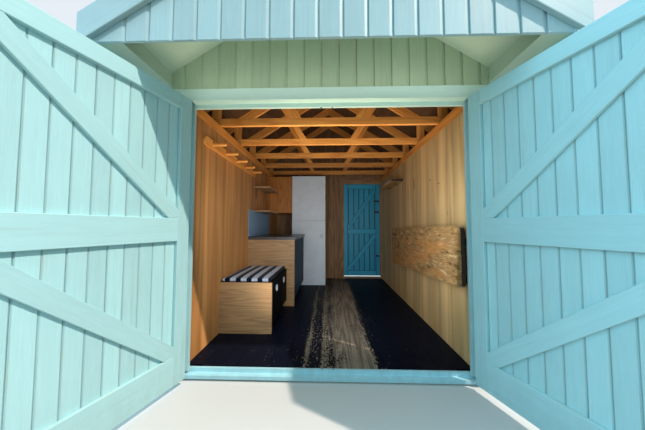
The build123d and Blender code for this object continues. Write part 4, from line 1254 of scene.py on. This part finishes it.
def swell(pad, low, high):
    """Swell a closed cover with a cloth simulation under pressure, to the crown's height."""
    frames, crown = 20, 0.010
    before = [v.co.copy() for v in pad.data.vertices]
    cloth = pad.modifiers.new("cloth", "CLOTH")
    cloth.settings.use_pressure = True
    cloth.settings.uniform_pressure_force = 4.0
    cloth.settings.effector_weights.gravity = 0.0
    cloth.settings.quality = 4
    for number in range(1, frames + 1):
        bpy.context.scene.frame_set(number)
        graph = bpy.context.evaluated_depsgraph_get()
        swollen = [v.co.copy() for v in pad.evaluated_get(graph).data.vertices]
    pad.modifiers.remove(cloth)
    bpy.context.scene.frame_set(1)
    # The whole swelling is scaled so that the middle rises by the crown's height
    share = crown / max((new - old).length for old, new in zip(before, swollen))
    for vertex, old, new in zip(pad.data.vertices, before, swollen):
        spot = old + (new - old) * share
        # It lies flat on the bench and stays clear of the wall and the panel behind
        spot.z = max(spot.z, low.z + 0.0005)
        spot.x = min(max(spot.x, low.x + 0.001), high.x + 0.004)
        spot.y = min(max(spot.y, low.y - 0.004), high.y - 0.001)
        vertex.co = spot


def cushion():
    """The bench cushion: a swollen cover that is piped along its edges."""
    shy, below, edge, wire = 0.010, 0.012, 0.013, 0.0026
    low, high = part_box("bench_cushion")
    size = high - low - Vector((2 * shy, 2 * shy, below))
    centre = (low + high) / 2
    mesh = bpy.data.meshes.new("cushion")
    shape = bmesh.new()
    bmesh.ops.create_cube(shape, size=1.0)
    bmesh.ops.scale(shape, vec=size, verts=shape.verts)
    bmesh.ops.bevel(shape, geom=shape.edges[:], offset=edge, segments=3, affect="EDGES")
    bmesh.ops.translate(shape, vec=centre, verts=shape.verts)
    shape.to_mesh(mesh)
    shape.free()
    pad = bpy.data.objects.new("cushion", mesh)
    bpy.context.scene.collection.objects.link(pad)
    remesh = pad.modifiers.new("remesh", "REMESH")
    remesh.mode = "VOXEL"
    # Fine enough for the rounded edges, and coarse enough for the cloth to swell
    remesh.voxel_size = 0.010
    bake(pad)
    swell(pad, low, high)
    finer = pad.modifiers.new("finer", "SUBSURF")
    finer.levels = finer.render_levels = 1
    bake(pad)
    smooth(pad)
    pad.data.materials.append(material["cotton"])

    # Two welts of piping, laid where rays from outside meet the cover
    tree = BVHTree.FromObject(pad, bpy.context.evaluated_depsgraph_get())
    welts = Timber(180)
    for level in (low.z + 0.009, high.z - 0.010):
        path = []
        for step in range(160):
            turn = step / 160 * 2 * math.pi
            away = Vector((math.cos(turn) * size.x, math.sin(turn) * size.y, 0))
            start = Vector((centre.x, centre.y, level)) + away
            spot = tree.ray_cast(start, -away.normalized())[0]
            if spot is not None:
                path.append(spot)
        rings = []
        for number, spot in enumerate(path):
            ahead = path[(number + 1) % len(path)] - path[number - 1]
            side = ahead.normalized().cross(UP).normalized()
            rings.append(circle(spot + Vector((0, SET_BACK, 0)), side * wire, UP * wire, 8))
        welts.add(rings + rings[:1], closed=False)
    smooth(welts.done("cushion_piping", "cotton", "striped_fabric"))
    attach(pad, "hut")
    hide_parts("bench_cushion")


cushion()

# Camera, light and stage

PHOTO_WIDTH, FOCAL_LENGTH = 645, 238.75
camera = bpy.data.cameras.new("camera")
camera.sensor_width = 36.0
camera.lens = camera.sensor_width * FOCAL_LENGTH / PHOTO_WIDTH
camera.clip_start = 0.05
eye = bpy.data.objects.new("camera", camera)
eye.location = (0.0122, -1.8404 - SET_BACK, 1.1943)
eye.rotation_euler = (math.pi / 2 + 0.0476, -0.0013, 0.0283)
bpy.context.scene.collection.objects.link(eye)
bpy.context.scene.camera = eye

REACH = 30
ground = bpy.data.meshes.new("ground")
ground.from_pydata([(x, y, 0) for x, y in rect(-REACH, REACH, -REACH, REACH)], [], [(0, 1, 2, 3)])
ground_object = bpy.data.objects.new("ground", ground)
bpy.context.scene.collection.objects.link(ground_object)
# The light that the ground throws back comes from under it
ground_object.visible_shadow = False


def prepared(tree, kind, **values):
    """A new node with some of its inputs set."""
    made = tree.nodes.new(kind)
    for key, value in values.items():
        made.inputs[key.replace("_", " ")].default_value = value
    return made


def show_plainly(tree, lit, seen, out):
    """Show one shader to the camera, to mirrors and through glass, and light with the other."""
    rays = tree.nodes.new("ShaderNodeLightPath")
    share = rays.outputs["Is Camera Ray"]
    for word in ("Is Glossy Ray", "Is Transmission Ray"):
        both = tree.nodes.new("ShaderNodeMath")
        both.operation, both.use_clamp = "ADD", True
        tree.links.new(share, both.inputs[0])
        tree.links.new(rays.outputs[word], both.inputs[1])
        share = both.outputs[0]
    blend = tree.nodes.new("ShaderNodeMixShader")
    for number, socket in enumerate((share, lit.outputs[0], seen.outputs[0])):
        tree.links.new(socket, blend.inputs[number])
    tree.links.new(blend.outputs[0], out.inputs[0])


stage = bpy.data.materials.new("ground")
stage.use_nodes = True
tree = stage.node_tree
tree.nodes.clear()
# The ground shows pale and gives back less light than it shows
shown = prepared(tree, "ShaderNodeBsdfDiffuse", Color=(0.60, 0.59, 0.57, 1.0))
given = prepared(tree, "ShaderNodeBsdfDiffuse", Color=(0.24, 0.23, 0.21, 1.0))
show_plainly(tree, given, shown, tree.nodes.new("ShaderNodeOutputMaterial"))
ground.materials.append(stage)

world = bpy.data.worlds.new("world")
bpy.context.scene.world = world
world.use_nodes = True
tree = world.node_tree
tree.nodes.clear()
# The light from above is stronger than the light from the horizon
compass = tree.nodes.new("ShaderNodeTexCoord")
height = tree.nodes.new("ShaderNodeSeparateXYZ")
rise = prepared(tree, "ShaderNodeMapRange", From_Min=0.0, To_Min=0.30, To_Max=1.75)
sky = prepared(tree, "ShaderNodeBackground", Color=(0.62, 0.88, 1.0, 1.0))
tree.links.new(compass.outputs["Generated"], height.inputs[0])
tree.links.new(height.outputs["Z"], rise.inputs["Value"])
tree.links.new(rise.outputs[0], sky.inputs["Strength"])
seen = prepared(tree, "ShaderNodeBackground", Color=(0.80, 0.86, 0.93, 1.0), Strength=1.0)
show_plainly(tree, sky, seen, tree.nodes.new("ShaderNodeOutputWorld"))


def lamp(name, kind, energy, colour, spot, towards, **settings):
    """A light that shines from a spot along a direction."""
    light = bpy.data.lights.new(name, kind)
    light.energy, light.color = energy, colour
    for key, value in settings.items():
        setattr(light, key, value)
    thing = bpy.data.objects.new(name, light)
    thing.location = spot
    thing.rotation_euler = Vector(towards).to_track_quat("-Z", "Y").to_euler()
    thing.visible_camera = False
    bpy.context.scene.collection.objects.link(thing)


SHARP, WIDE = math.radians(1), math.radians(60)
lamp("key", "SUN", 3.6, (1.0, 0.88, 0.78), (4, -3, 5), (-1.0, 0.55, -1.32), angle=SHARP)
lamp("fill", "SUN", 1.9, (0.37, 0.75, 1.0), (-4, -3, 3), (1.0, 0.30, -0.40), angle=WIDE)
lamp("front", "AREA", 6, (0.92, 0.97, 1.0), (0, -5.2, 1.6), (0, 1, 0.02), shape="RECTANGLE",
     size=5.0, size_y=3.0)
lamp("bounce", "SUN", 0.75, (1.0, 0.92, 0.80), (0, -3, -2), (0, 0.62, 1.0), angle=WIDE)
lamp("recess", "AREA", 2.0, (1.0, 0.94, 0.90), (0, -0.34, 2.22), (0, 0.35, 1.0),
     shape="RECTANGLE", size=2.1, size_y=0.2)
lamp("floor", "AREA", 11, (1.0, 0.82, 0.60), (0.0, 0.20, 0.12), (0, 0.18, 1.0),
     shape="RECTANGLE", size=1.4, size_y=0.5, spread=math.radians(68))
lamp("doorway", "AREA", 15, (0.88, 0.95, 1.0), (0.1, 0.0, 1.10), (0, 1, 0.12),
     shape="RECTANGLE", size=1.8, size_y=1.1)

bpy.context.scene.view_settings.view_transform = "Standard"
